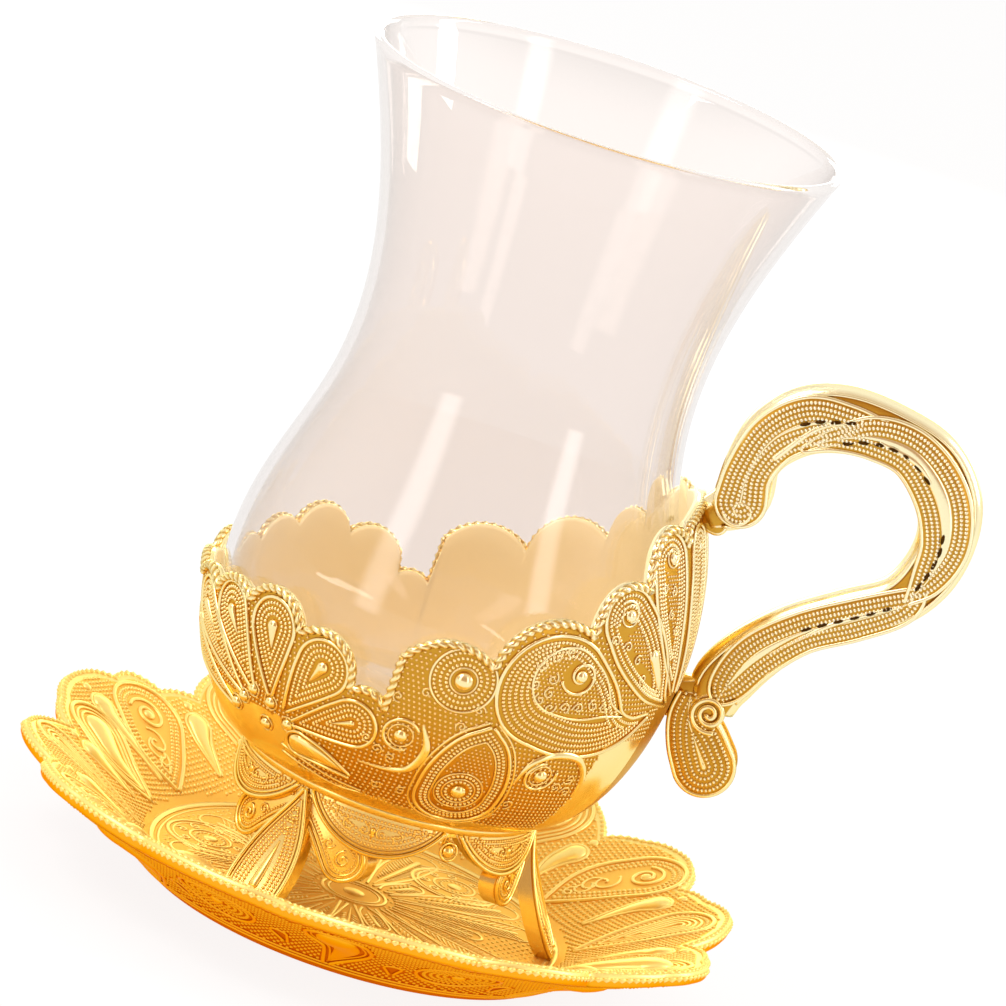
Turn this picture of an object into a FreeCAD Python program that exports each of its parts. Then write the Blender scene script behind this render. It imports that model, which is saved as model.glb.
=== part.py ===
"""A tulip tea glass in a cast filigree holder with a handle, standing in its lobed saucer.

Five pieces, each one solid: the saucer; the stand, which is a skirt of lappets on three leaf
feet; the bowl soldered on it, with its scalloped edge; the handle soldered to the bowl; and the
blown glass that stands in the bowl. Millimetres, +Z up. The origin is the middle of the
saucer's flat underside, and the handle points to +X.
"""
import os
from math import cos, hypot, radians, sin, sqrt

import FreeCAD
import Part

V = FreeCAD.Vector
UP = V(0, 0, 1)

# --- glass ---
GLASS_HEIGHT = 96.8
GLASS_RIM_RADIUS = 33.0
GLASS_WAIST_RADIUS = 23.9
GLASS_BELLY_RADIUS = 31.3
GLASS_FOOT_RADIUS = 17.5
GLASS_BELLY_SHARE = 0.22        # height of the belly as a share of the glass
GLASS_WAIST_SHARE = 0.62        # height of the waist as a share of the glass
GLASS_RIM_FLARE = 0.40          # outward slope just under the rim
GLASS_WALL = 1.3
GLASS_BASE = 9.0                # thick bottom

# --- saucer ---
SAUCER_RADIUS = 52.0            # to a tip whose share is 1 in SAUCER_EDGE
SAUCER_RIM_HEIGHT = 14.3        # top face at that radius
SAUCER_FLOOR_MARGIN = 0.4       # the flat floor inside reaches this far past the feet
SAUCER_BASE_MARGIN = 0.9        # the flat underside reaches this far past the floor
SAUCER_FLOOR = 2.2              # thickness of the floor
SAUCER_SHEET = 1.9              # upright thickness of the rim
SAUCER_SPRING = 3.3             # rise of the side's first pole: it leaves the floor at a bend
SAUCER_KNEE = 0.783             # height of the side's second pole, as a share of the rim's
SAUCER_OVERRUN = 1.15           # the dish is turned this much wider, then cut to its edge
SAUCER_OVERRISE = 1.19          # and this much higher, so the rim rises by about 0.3 in 1
SAUCER_BULGE = 0.10             # how far each span of the edge bows out, as a share of it

# Corners of the saucer's edge, anticlockwise from just before +X: angle and share of the radius.
# Leaf tips and rounded lobes take turns, with a notch between each two.
SAUCER_EDGE = (
    (-8.6, 0.894), (6.0, 0.983), (14.7, 0.944),
    (21.8, 0.900), (28.4, 0.970), (34.5, 0.983), (40.5, 0.940),
    (46.1, 0.870), (60.0, 1.000),
    (73.0, 0.880), (91.0, 0.980),
    (108.0, 0.880), (122.5, 1.005),
    (130.6, 0.885), (138.6, 0.905), (143.0, 0.970), (147.2, 0.955), (154.0, 0.988), (166.0, 0.935),
    (174.5, 0.859), (188.4, 0.971),
    (200.9, 0.909), (211.9, 0.988), (222.0, 0.990),
    (235.0, 0.955), (252.0, 1.010),
    (262.0, 0.965), (278.2, 1.045),
    (291.0, 0.985), (299.7, 1.040),
    (311.0, 0.975), (323.8, 1.025), (330.3, 1.044), (338.0, 1.000),
)

# --- bowl of the holder ---
BOWL_WALL = 1.3
BOWL_GAP = 1.0                  # air between the glass's belly and the bowl
BOWL_FLOOR = 1.6
BOWL_WIDEST_ABOVE_BELLY = 5.0
BOWL_TOP_ARC = 50.0             # radius of the bowl's upper curve
RING_MARGIN = 3.1               # the bowl's bottom stands this far outside the glass's foot

# Lobes of the bowl's edge on one side, from the tab to the far side: the angles of each lobe's
# top and of the notch after it, and the heights of both over the bowl's bottom.
TAB_HEIGHT = 49.8
TAB_HALF_ANGLE = 20.0
TAB_NOTCH = 45.4
TAB_SHOULDER = 1.6              # the tab's corners are this much lower than its middle
BOWL_LOBES = (
    (28.5, 37.5, 48.2, 40.4),   # leaf
    (43.0, 52.5, 41.2, 33.9),   # small paisley
    (61.0, 75.0, 35.2, 27.2),   # large paisley
    (82.0, 95.5, 29.0, 17.0),   # rosette
    (100.5, 105.2, 18.9, 18.2),  # the fan's petals
    (113.5, 121.0, 24.3, 22.7),
    (129.3, 138.2, 26.6, 23.3),
    (145.5, 153.6, 24.6, 21.3),
    (161.0, 170.0, 22.8, 20.4),
)
LAST_PETAL = 21.8               # top of the petal at the far side, which both halves share

# --- stand ---
FOOT_HEIGHT = 18.6              # saucer floor to the bottom of the bowl
RING_WIRE = 0.9                 # radius of the plain wire between bowl and stand
SKIRT_WALL = 1.2
SKIRT_DROP = 6.4                # length of the lappets
SKIRT_FLARE = 0.9               # how much wider the skirt is at its lower edge
SKIRT_SHOULDER = 1.0            # straight part of a lappet's sides
LAPPETS = 6
LAPPET_SHARE = 0.95             # width of a lappet as a share of its part of the skirt
FLANGE_INNER_RADIUS = 13.0
FLANGE = 1.4
FEET = 3
FIRST_FOOT_ANGLE = 0.0          # under the handle
FOOT_WIDTH = 8.6
FOOT_THICKNESS = 2.4
FOOT_REACH = 8.2                # how far a foot stands out past the skirt
FOOT_SOLE = 0.5                 # width of the sole as a share of the foot
CURL_LENGTH = 11.8              # the two curled leaves beside each foot
CURL_RADIUS = 2.9
CURL_TILT = 45.0
BEAD_RADIUS = 1.0
BEAD_DROP = 3.4                 # middle of the bead under the bowl

# --- handle ---
HANDLE_THICKNESS = 5.0
HANDLE_WIDTH = 8.0
HANDLE_REACH = 31.65            # from the bowl's widest point to the outside of the grip
HANDLE_RISE = 48.8              # from the scroll's middle to the top of the grip
HANDLE_BEVEL = 1.3              # how far the grip's faces stand inside its sides
HANDLE_STATIONS = 34
ROOT_BELOW_TAB_TOP = 2.0
ROOT_SHARE = 0.59               # width of the grip where it meets the tab
ROOT_BLOCK = 1.7                # half the height of the block between tab and grip
SCROLL_BELOW_WIDEST = 5.9
SCROLL_OUT = 5.0                # the scroll's middle, out from the bowl's widest point
SCROLL_RADIUS = 3.0
SCROLL_PROUD = 0.3              # it stands this much over the grip's faces
DROP_TOP_RADIUS = 2.9           # upper end of the leaf that hangs under the scroll
DROP_TOP_IN = 2.6               # its middle, from the scroll's middle towards the bowl
DROP_TOP_DOWN = 2.0
DROP_RADIUS = 4.3               # lower end of the leaf
DROP_LENGTH = 5.4               # between the middles of its two ends
DROP_OUT = 4.2                  # the leaf slants this far outwards
LUG_UP = 3.4                    # the lower lug, over and under the scroll's middle
LUG_DOWN = 5.4

# Middle line of the grip from the tab to the scroll: shares of the reach and of the rise, and
# the width as a share of HANDLE_WIDTH.
GRIP = (
    (0.000, 0.605, 0.94),
    (0.000, 0.719, 0.93),
    (0.054, 0.809, 1.10),
    (0.167, 0.880, 1.20),
    (0.332, 0.914, 1.18),
    (0.537, 0.914, 1.06),
    (0.724, 0.872, 1.13),
    (0.845, 0.780, 1.14),
    (0.887, 0.676, 1.04),
    (0.859, 0.561, 0.98),
    (0.765, 0.463, 0.89),
    (0.578, 0.382, 0.89),
    (0.385, 0.291, 0.92),
    (0.256, 0.191, 1.03),
    (0.172, 0.090, 1.06),
    (0.155, 0.010, 0.85),
)

# --- places worked out from the sizes ---
BOWL_BOTTOM = SAUCER_FLOOR + FOOT_HEIGHT
SEAT_Z = BOWL_BOTTOM + BOWL_FLOOR
GLASS_TOP = SEAT_Z + GLASS_HEIGHT
BELLY_Z = SEAT_Z + GLASS_BELLY_SHARE * GLASS_HEIGHT
BOWL_RADIUS = GLASS_BELLY_RADIUS + BOWL_GAP + BOWL_WALL
BOWL_WIDEST_Z = BELLY_Z + BOWL_WIDEST_ABOVE_BELLY
RING_RADIUS = GLASS_FOOT_RADIUS + RING_MARGIN
SAUCER_FLOOR_RADIUS = RING_RADIUS + FOOT_REACH + SAUCER_FLOOR_MARGIN
SAUCER_BASE_RADIUS = SAUCER_FLOOR_RADIUS + SAUCER_BASE_MARGIN
TAB_TOP = BOWL_BOTTOM + TAB_HEIGHT
SCROLL = V(BOWL_RADIUS + SCROLL_OUT, 0, BOWL_WIDEST_Z - SCROLL_BELOW_WIDEST)

CLEAR = 5.0                     # cutting tools reach this far past what they cut
QUARTER = 4 * (sqrt(2) - 1) / 3  # handle of a Bezier quarter ellipse


# ---------------------------------------------------------------- helpers

def polar(radius, angle, z=0.0):
    return V(radius * cos(radians(angle)), radius * sin(radians(angle)), z)


def line(a, b):
    return Part.makeLine(a, b)


def arc(a, b, c):
    return Part.Arc(a, b, c).toShape()


def bezier(*poles):
    curve = Part.BezierCurve()
    curve.setPoles(list(poles))
    return curve.toShape()


def spline(points):
    curve = Part.BSplineCurve()
    curve.interpolate(points)
    return curve.toShape()


def quarter(level, upright):
    """A quarter ellipse in the XZ plane, level at its first end and upright at its second."""
    return bezier(level, level + V(QUARTER * (upright.x - level.x), 0, 0),
                  upright - V(0, 0, QUARTER * (upright.z - level.z)), upright)


def turned(edges):
    """The solid that a closed chain of edges in the XZ plane sweeps round Z."""
    return Part.Face(Part.Wire(edges)).revolve(V(0, 0, 0), UP, 360)


def outwards(edges, angle, inner, outer):
    """Edges drawn at (0, across, height) as a prism between two radii, turned to an angle."""
    face = Part.Face(Part.Wire(edges))
    face.translate(V(inner, 0, 0))
    prism = face.extrude(V(outer - inner, 0, 0))
    prism.rotate(V(0, 0, 0), UP, angle)
    return prism


def across(y, z):
    return V(0, y, z)


def two_circles(a, radius_a, b, radius_b, at):
    """Edges of the hull of two circles. at(u, v) places a point of the flat drawing."""
    du, dv = b[0] - a[0], b[1] - a[1]
    span = hypot(du, dv)
    along = (du / span, dv / span)
    side = (-along[1], along[0])
    lean = (radius_a - radius_b) / span
    reach = sqrt(1 - lean * lean)

    def touch(centre, radius, sign):
        u = centre[0] + radius * (lean * along[0] + sign * reach * side[0])
        v = centre[1] + radius * (lean * along[1] + sign * reach * side[1])
        return at(u, v)

    def end(centre, radius, sign):
        return at(centre[0] + sign * radius * along[0], centre[1] + sign * radius * along[1])

    left_a, left_b = touch(a, radius_a, 1), touch(b, radius_b, 1)
    right_a, right_b = touch(a, radius_a, -1), touch(b, radius_b, -1)
    return [line(left_a, left_b), arc(left_b, end(b, radius_b, 1), right_b),
            line(right_b, right_a), arc(right_a, end(a, radius_a, -1), left_a)]


def one_solid(shape):
    """The main solid of a boolean's result, with split faces joined again."""
    return max(shape.removeSplitter().Solids, key=lambda solid: solid.Volume)


# ---------------------------------------------------------------- glass

def glass_face(inset):
    """Belly, waist and rim points of the glass's side, and its two curves, moved in by inset."""
    belly = V(GLASS_BELLY_RADIUS - inset, 0, BELLY_Z)
    waist = V(GLASS_WAIST_RADIUS - inset, 0, SEAT_Z + GLASS_WAIST_SHARE * GLASS_HEIGHT)
    rim = V(GLASS_RIM_RADIUS - inset, 0, GLASS_TOP - GLASS_WALL / 2)
    lower = V(0, 0, 0.42 * (waist.z - belly.z))
    upper = (rim.z - waist.z) / 3
    body = bezier(belly, belly + lower, waist - lower, waist)
    flare = bezier(waist, waist + V(0, 0, upper), rim - V(GLASS_RIM_FLARE * upper, 0, upper), rim)
    return belly, body, flare, rim


def make_glass():
    foot = V(GLASS_FOOT_RADIUS, 0, SEAT_Z)
    inner_foot = V(GLASS_FOOT_RADIUS - GLASS_WALL, 0, SEAT_Z + GLASS_BASE)
    belly, body, flare, rim = glass_face(0)
    inner_belly, inner_body, inner_flare, inner_rim = glass_face(GLASS_WALL)
    lip = V((rim.x + inner_rim.x) / 2, 0, GLASS_TOP)
    return one_solid(turned([
        line(V(0, 0, SEAT_Z), foot),
        quarter(foot, belly), body, flare,
        arc(rim, lip, inner_rim),
        inner_flare, inner_body, quarter(inner_foot, inner_belly),
        line(inner_foot, V(0, 0, inner_foot.z)),
        line(V(0, 0, inner_foot.z), V(0, 0, SEAT_Z)),
    ]))


# ---------------------------------------------------------------- saucer

def saucer_side(start, first, second, sheet):
    """Poles of the dish's side, from the end of its flat to past the rim, where it runs out."""
    reach, rim = SAUCER_RADIUS * SAUCER_OVERRUN, SAUCER_RIM_HEIGHT * SAUCER_OVERRISE
    width = reach - start.x
    return [start, start + V(first * width, 0, SAUCER_SPRING),
            V(start.x + second * width, 0, SAUCER_KNEE * SAUCER_RIM_HEIGHT - sheet),
            V(reach, 0, rim - sheet)]


def make_saucer():
    floor = V(0, 0, SAUCER_FLOOR)
    top = saucer_side(V(SAUCER_FLOOR_RADIUS, 0, SAUCER_FLOOR), 0.14, 0.42, 0)
    under = saucer_side(V(SAUCER_BASE_RADIUS, 0, 0), 0.145, 0.434, SAUCER_SHEET)
    dish = turned([
        line(V(0, 0, 0), under[0]), bezier(*under), line(under[3], top[3]),
        bezier(*reversed(top)), line(top[0], floor), line(floor, V(0, 0, 0)),
    ])
    corners = [polar(share * SAUCER_RADIUS, angle, -CLEAR) for angle, share in SAUCER_EDGE]
    spans = []
    for start, end in zip(corners, corners[1:] + corners[:1]):
        chord = end - start
        bow = V(chord.y, -chord.x, 0) * SAUCER_BULGE
        spans.append(arc(start, (start + end) * 0.5 + bow, end))
    outline = Part.Face(Part.Wire(spans)).extrude(UP * (top[3].z + 2 * CLEAR))
    return one_solid(dish.common(outline))


# ---------------------------------------------------------------- bowl

def bowl_radius(z):
    """Outer radius of the bowl's upper part at a height."""
    return BOWL_RADIUS - BOWL_TOP_ARC + sqrt(BOWL_TOP_ARC ** 2 - (z - BOWL_WIDEST_Z) ** 2)


def air_over_lobe(start, peak, end, left, top, right):
    """What is cut from the bowl over one lobe. The heights are over the bowl's bottom."""
    middle, reach = (start + end) / 2, BOWL_RADIUS + 0.3
    half, lean = reach * sin(radians((end - start) / 2)), reach * sin(radians(peak - middle))
    high = TAB_TOP + CLEAR
    a, c = across(-half, BOWL_BOTTOM + left), across(half, BOWL_BOTTOM + right)
    edges = [arc(a, across(lean, BOWL_BOTTOM + top), c), line(c, across(half, high)),
             line(across(half, high), across(-half, high)), line(across(-half, high), a)]
    return outwards(edges, middle, RING_RADIUS - CLEAR, BOWL_RADIUS + CLEAR)


def air_over_bowl():
    shoulder = TAB_HEIGHT - TAB_SHOULDER
    air = [air_over_lobe(-TAB_HALF_ANGLE, 0, TAB_HALF_ANGLE, shoulder, TAB_HEIGHT, shoulder)]
    start, left = TAB_HALF_ANGLE, TAB_NOTCH
    for peak, end, top, right in BOWL_LOBES:
        air.append(air_over_lobe(start, peak, end, left, top, right))
        air.append(air_over_lobe(-end, -peak, -start, right, top, left))
        start, left = end, right
    air.append(air_over_lobe(start, 180, 360 - start, left, LAST_PETAL, left))
    return air


def make_bowl():
    high = TAB_TOP + 1
    ring = V(RING_RADIUS - RING_WIRE, 0, BOWL_BOTTOM)
    seat = V(RING_RADIUS - 1, 0, SEAT_Z)
    widest, widest_in = V(BOWL_RADIUS, 0, BOWL_WIDEST_Z), V(BOWL_RADIUS - BOWL_WALL, 0, BOWL_WIDEST_Z)
    middle = (high + BOWL_WIDEST_Z) / 2
    top = V(bowl_radius(high), 0, high)
    shell = turned([
        line(V(0, 0, BOWL_BOTTOM), ring), quarter(ring, widest),
        arc(widest, V(bowl_radius(middle), 0, middle), top),
        line(top, top - V(BOWL_WALL, 0, 0)),
        arc(top - V(BOWL_WALL, 0, 0), V(bowl_radius(middle) - BOWL_WALL, 0, middle), widest_in),
        quarter(seat, widest_in), line(seat, V(0, 0, SEAT_Z)),
        line(V(0, 0, SEAT_Z), V(0, 0, BOWL_BOTTOM)),
    ])
    return one_solid(shell.cut(air_over_bowl()))


# ---------------------------------------------------------------- stand

def band(inner, outer, drop):
    """A flared band that hangs drop under the bowl, between two radii."""
    top, low = BOWL_BOTTOM, BOWL_BOTTOM - drop
    flare = SKIRT_FLARE * drop / SKIRT_DROP
    corners = [V(inner, 0, top), V(outer, 0, top), V(outer + flare, 0, low), V(inner + flare, 0, low)]
    return turned([line(a, b) for a, b in zip(corners, corners[1:] + corners[:1])])


def lappet(angle):
    half = RING_RADIUS * sin(radians(LAPPET_SHARE * 180 / LAPPETS))
    top, side, low = BOWL_BOTTOM + 1, BOWL_BOTTOM - SKIRT_SHOULDER, BOWL_BOTTOM - SKIRT_DROP
    edges = [line(across(-half, top), across(half, top)), line(across(half, top), across(half, side)),
             arc(across(half, side), across(0, low), across(-half, side)),
             line(across(-half, side), across(-half, top))]
    return outwards(edges, angle, CLEAR, RING_RADIUS + CLEAR)


def curl(angle, tilt):
    """A curled leaf beside a foot, hanging from the foot's top and tilted away from it."""
    top = (0, BOWL_BOTTOM - CURL_RADIUS)
    low = (CURL_LENGTH * sin(radians(tilt)), top[1] - CURL_LENGTH * cos(radians(tilt)) + CURL_RADIUS)
    edges = two_circles(top, CURL_RADIUS / 2, low, CURL_RADIUS, across)
    return outwards(edges, angle, CLEAR, RING_RADIUS + CLEAR)


def foot(angle):
    """A leaf that narrows to a point under the bowl and curves out to a flat sole."""
    half, sole = FOOT_WIDTH / 2, FOOT_SOLE * FOOT_WIDTH / 2
    top, floor = BOWL_BOTTOM, SAUCER_FLOOR
    wide = floor + 0.24 * FOOT_HEIGHT
    right = [bezier(across(0, top), across(0.3 * half, top - 0.25 * FOOT_HEIGHT),
                    across(half, wide + 0.35 * FOOT_HEIGHT), across(half, wide)),
             bezier(across(half, wide), across(half, floor + 0.08 * FOOT_HEIGHT), across(sole, floor))]
    left = [edge.mirror(V(0, 0, 0), V(0, 1, 0)) for edge in reversed(right)]
    outline = right + [line(across(sole, floor), across(-sole, floor))] + left
    leaf = outwards(outline, 0, CLEAR, RING_RADIUS + FOOT_REACH + CLEAR)
    outer = [V(RING_RADIUS, 0, top), V(RING_RADIUS + 0.8, 0, floor + 0.58 * FOOT_HEIGHT),
             V(RING_RADIUS + FOOT_REACH, 0, floor)]
    inner = [point - V(FOOT_THICKNESS, 0, 0) for point in outer]
    side = Part.Face(Part.Wire([bezier(*outer), line(outer[2], inner[2]), bezier(*reversed(inner)),
                                line(inner[0], outer[0])]))
    side.translate(V(0, -FOOT_WIDTH, 0))
    solid = side.extrude(V(0, 2 * FOOT_WIDTH, 0)).common(leaf)
    solid.rotate(V(0, 0, 0), UP, angle)
    return solid


def make_stand(bowl):
    flange = Part.makeCylinder(RING_RADIUS, FLANGE, V(0, 0, BOWL_BOTTOM - FLANGE))
    hole = Part.makeCylinder(FLANGE_INNER_RADIUS, FLANGE + 2 * CLEAR, V(0, 0, BOWL_BOTTOM - FLANGE - CLEAR))
    wire = Part.makeTorus(RING_RADIUS, RING_WIRE, V(0, 0, BOWL_BOTTOM))
    step = 360 / LAPPETS
    gaps = [FIRST_FOOT_ANGLE + step * i for i in range(LAPPETS)]
    stride = LAPPETS // FEET
    feet = gaps[::stride]
    skirt = band(RING_RADIUS - SKIRT_WALL, RING_RADIUS, SKIRT_DROP + 1)
    skirt = skirt.common(Part.makeCompound([]).fuse([lappet(gap + step / 2) for gap in gaps]))
    lining = band(RING_RADIUS - 2 * SKIRT_WALL, RING_RADIUS - SKIRT_WALL / 2, CURL_LENGTH + CURL_RADIUS)
    curls = [curl(angle, tilt) for angle in feet for tilt in (-CURL_TILT, CURL_TILT)]
    pieces = [wire, skirt] + [lining.common(shape) for shape in curls] + [foot(angle) for angle in feet]
    for gap in gaps:
        if gap not in feet:
            pieces.append(Part.makeSphere(BEAD_RADIUS, polar(RING_RADIUS, gap, BOWL_BOTTOM - BEAD_DROP)))
            pieces.append(Part.makeCylinder(BEAD_RADIUS / 2, BEAD_DROP,
                                            polar(RING_RADIUS - BEAD_RADIUS, gap, BOWL_BOTTOM - BEAD_DROP)))
    return one_solid(flange.cut(hole).fuse(pieces).cut(bowl))


# ---------------------------------------------------------------- handle

def upright(y):
    """Places a drawing of (x, z) in the plane at y."""
    return lambda x, z: V(x, y, z)


def grip_stations():
    """Points, sideways directions and half widths along the grip's middle line."""
    root_z = TAB_TOP - ROOT_BELOW_TAB_TOP
    points = [V(bowl_radius(root_z) + 0.4, 0, root_z)]
    widths = [ROOT_SHARE * HANDLE_WIDTH]
    for out, up, width in GRIP:
        points.append(V(BOWL_RADIUS + out * HANDLE_REACH, 0, SCROLL.z + up * HANDLE_RISE))
        widths.append(width * HANDLE_WIDTH)
    curve = Part.BSplineCurve()
    curve.interpolate(points)
    knots = [curve.parameter(point) for point in points]
    stations = []
    for i in range(HANDLE_STATIONS + 1):
        at = knots[-1] * i / HANDLE_STATIONS
        k = max(j for j in range(len(knots) - 1) if knots[j] <= at)
        share = (at - knots[k]) / (knots[k + 1] - knots[k])
        half = (widths[k] + share * (widths[k + 1] - widths[k])) / 2
        tangent = curve.tangent(at)[0]
        stations.append((curve.value(at), V(-tangent.z, 0, tangent.x), half))
    return stations


def grip_wire(stations, y, inset):
    left = [point + side * (half - inset) + V(0, y, 0) for point, side, half in stations]
    right = [point - side * (half - inset) + V(0, y, 0) for point, side, half in reversed(stations)]
    return Part.Wire([spline(left), line(left[-1], right[0]), spline(right), line(right[-1], left[0])])


def plate(edges, thickness):
    return Part.Face(Part.Wire(edges)).extrude(V(0, thickness, 0))


def block(x_low, x_high, z_low, z_high, thickness):
    return Part.makeBox(x_high - x_low, thickness, z_high - z_low, V(x_low, -thickness / 2, z_low))


def make_handle(bowl):
    stations = grip_stations()
    half = HANDLE_THICKNESS / 2
    levels = ((-half, HANDLE_BEVEL), (-half / 3, 0), (half / 3, 0), (half, HANDLE_BEVEL))
    grip = Part.makeLoft([grip_wire(stations, y, inset) for y, inset in levels], True, True)
    scroll_half = half + SCROLL_PROUD
    scroll = Part.makeCylinder(SCROLL_RADIUS, 2 * scroll_half, SCROLL - V(0, scroll_half, 0), V(0, 1, 0))
    drop_top = (SCROLL.x - DROP_TOP_IN, SCROLL.z - DROP_TOP_DOWN)
    drop_low = (drop_top[0] + DROP_OUT, drop_top[1] - DROP_LENGTH)
    thin = 0.8 * HANDLE_THICKNESS
    leaf = plate(two_circles(drop_top, DROP_TOP_RADIUS, drop_low, DROP_RADIUS, upright(-thin / 2)), thin)
    root_z = TAB_TOP - ROOT_BELOW_TAB_TOP
    root = block(bowl_radius(root_z) - BOWL_WALL, bowl_radius(root_z) + 2.2,
                 root_z - ROOT_BLOCK, root_z + ROOT_BLOCK, thin)
    lug = block(BOWL_RADIUS - 2 * BOWL_WALL, SCROLL.x - 1, SCROLL.z - LUG_DOWN, SCROLL.z + LUG_UP,
                0.7 * HANDLE_THICKNESS)
    inside = Part.makeCylinder(bowl_radius(TAB_TOP) - BOWL_WALL, TAB_TOP + CLEAR)
    return one_solid(grip.fuse([scroll, leaf, root, lug]).cut([bowl, inside]))


def main():
    bowl = make_bowl()
    nodes = {
        "saucer": make_saucer(),
        "stand": make_stand(bowl),
        "bowl": bowl,
        "handle": make_handle(bowl),
        "glass": make_glass(),
    }
    os.makedirs("parts", exist_ok=True)
    for name, shape in nodes.items():
        box = shape.BoundBox
        print(f"{name}: valid {shape.isValid()}, {shape.Volume / 1000:.2f} cm3, "
              f"x {box.XMin:.1f}..{box.XMax:.1f}, y {box.YMin:.1f}..{box.YMax:.1f}, "
              f"z {box.ZMin:.1f}..{box.ZMax:.1f}")
        shape.exportStep(f"parts/{name}.step")


main()
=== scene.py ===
# %% [markdown]
# # A tea glass in its filigree holder
#
# The real object has three parts that lift apart: a tulip-shaped glass, a cast holder with a
# handle and leaf feet, and a lobed saucer. The metal is a zinc casting plated with gold. Its
# ornament copies filigree, which is fine wire and rows of tiny grains soldered on a plate.
# This lesson builds the smooth bodies first, then lays wires, grains and scrolls on them.

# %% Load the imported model
import math

import bpy
import numpy as np
from mathutils import Matrix, Vector


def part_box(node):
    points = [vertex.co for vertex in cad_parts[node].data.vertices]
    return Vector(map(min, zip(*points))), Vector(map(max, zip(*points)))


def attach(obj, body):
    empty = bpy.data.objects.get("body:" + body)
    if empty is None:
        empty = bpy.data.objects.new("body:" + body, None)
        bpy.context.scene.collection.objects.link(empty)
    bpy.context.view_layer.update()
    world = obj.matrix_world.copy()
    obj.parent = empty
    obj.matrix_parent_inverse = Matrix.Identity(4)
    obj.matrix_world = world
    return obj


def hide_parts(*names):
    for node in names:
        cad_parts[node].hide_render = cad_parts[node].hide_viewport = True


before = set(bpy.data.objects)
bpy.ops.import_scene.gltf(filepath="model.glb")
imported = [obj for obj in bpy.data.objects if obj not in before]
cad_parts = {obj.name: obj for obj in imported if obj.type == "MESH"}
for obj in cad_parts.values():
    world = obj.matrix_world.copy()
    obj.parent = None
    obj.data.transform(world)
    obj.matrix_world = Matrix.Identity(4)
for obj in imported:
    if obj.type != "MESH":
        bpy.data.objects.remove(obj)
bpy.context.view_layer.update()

MM = 0.001
print("nodes:", sorted(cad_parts))

# %% [markdown]
# ## Sizes
#
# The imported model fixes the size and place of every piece, so the main sizes are read from its
# boxes, in millimetres. The rest are shapes inside those boxes, and they are named here once.

# %% Sizes read from the frame


def span(node):
    """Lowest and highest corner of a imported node, in mm."""
    low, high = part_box(node)
    return np.array(low) / MM, np.array(high) / MM


glass_low, glass_high = span("glass")
bowl_low, bowl_high = span("bowl")
stand_low = span("stand")[0]
handle_low, handle_high = span("handle")

SEAT = glass_low[2]
GLASS_HEIGHT = glass_high[2] - SEAT
GLASS_RIM = (glass_high[0] - glass_low[0]) / 2
BELLY_UP = 0.22  # the belly's height as a share of the glass
BELLY = SEAT + BELLY_UP * GLASS_HEIGHT
BOWL_BOTTOM = bowl_low[2]
TAB_TOP = bowl_high[2]
BOWL_RADIUS = (bowl_high[1] - bowl_low[1]) / 2
BOWL_WIDEST = BELLY + 5.0  # the bowl leans in above this, to hold the glass
BOWL_WALL = 1.3
BOWL_FLOOR = 1.6
RING_RADIUS = 20.6
SAUCER_RADIUS = 52.0
SAUCER_FLOOR = stand_low[2]
print(f"glass {GLASS_HEIGHT:.1f} high, bowl {2 * BOWL_RADIUS:.1f} wide, tab top at {TAB_TOP:.1f}")

# %% [markdown]
# ## Curves
#
# Every outline here is a short list of places joined by a smooth curve. Blender has curves of
# its own, but the ornament bends over turned surfaces, so plain arrays of points are handier:
# they can be moved, offset and projected before they become a mesh.

# %% Smooth lines and even steps


def lengths(path):
    """Length along a path at each of its points."""
    return np.concatenate([[0], np.cumsum(np.linalg.norm(np.diff(path, axis=0), axis=1))])


def even(path, step, closed=False):
    """The same path with its points at equal steps, near the step asked for."""
    path = np.asarray(path, float)
    if closed:
        path = np.vstack([path, path[:1]])
    run = lengths(path)
    count = max(int(round(run[-1] / step)), 3 if closed else 1)
    at = np.linspace(0, run[-1], count + 1)
    if closed:
        at = at[:-1]
    return np.stack([np.interp(at, run, column) for column in path.T], 1)


def smooth(points, step=0.4, closed=False):
    """A curve through the points (Catmull-Rom), in even steps."""
    points = np.asarray(points, float)
    if closed:
        padded = np.vstack([points[-1:], points, points[:2]])
    else:
        padded = np.vstack([2 * points[:1] - points[1:2], points, 2 * points[-1:] - points[-2:-1]])
    t = np.linspace(0, 1, 12, endpoint=False)[:, None]
    parts = []
    for a, b, c, d in zip(padded, padded[1:], padded[2:], padded[3:]):
        parts.append(0.5 * (2 * b + (c - a) * t + (2 * a - 5 * b + 4 * c - d) * t * t
                            + (3 * b - a - 3 * c + d) * t ** 3))
    if not closed:
        parts.append(points[-1:])
    return even(np.vstack(parts), step, closed)


def quarter(start, end, count=40):
    """A quarter ellipse that leaves its start level and reaches its end upright."""
    t = np.linspace(0, math.pi / 2, count)
    return np.stack([start[0] + (end[0] - start[0]) * np.sin(t),
                     end[1] + (start[1] - end[1]) * np.cos(t)], 1)


def bezier(a, b, c, d, count=30):
    """A cubic curve from a to d that leaves towards b and arrives from c."""
    t = np.linspace(0, 1, count)[:, None]
    a, b, c, d = (np.array(p, float) for p in (a, b, c, d))
    return a * (1 - t) ** 3 + 3 * b * t * (1 - t) ** 2 + 3 * c * t * t * (1 - t) + d * t ** 3


def circle(centre, radius, step=0.35):
    """A closed circle, whose first point isn't repeated at its end."""
    count = max(int(2 * math.pi * radius / step), 8)
    t = np.arange(count) * 2 * math.pi / count
    return np.stack([centre[0] + radius * np.cos(t), centre[1] + radius * np.sin(t)], 1)


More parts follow.
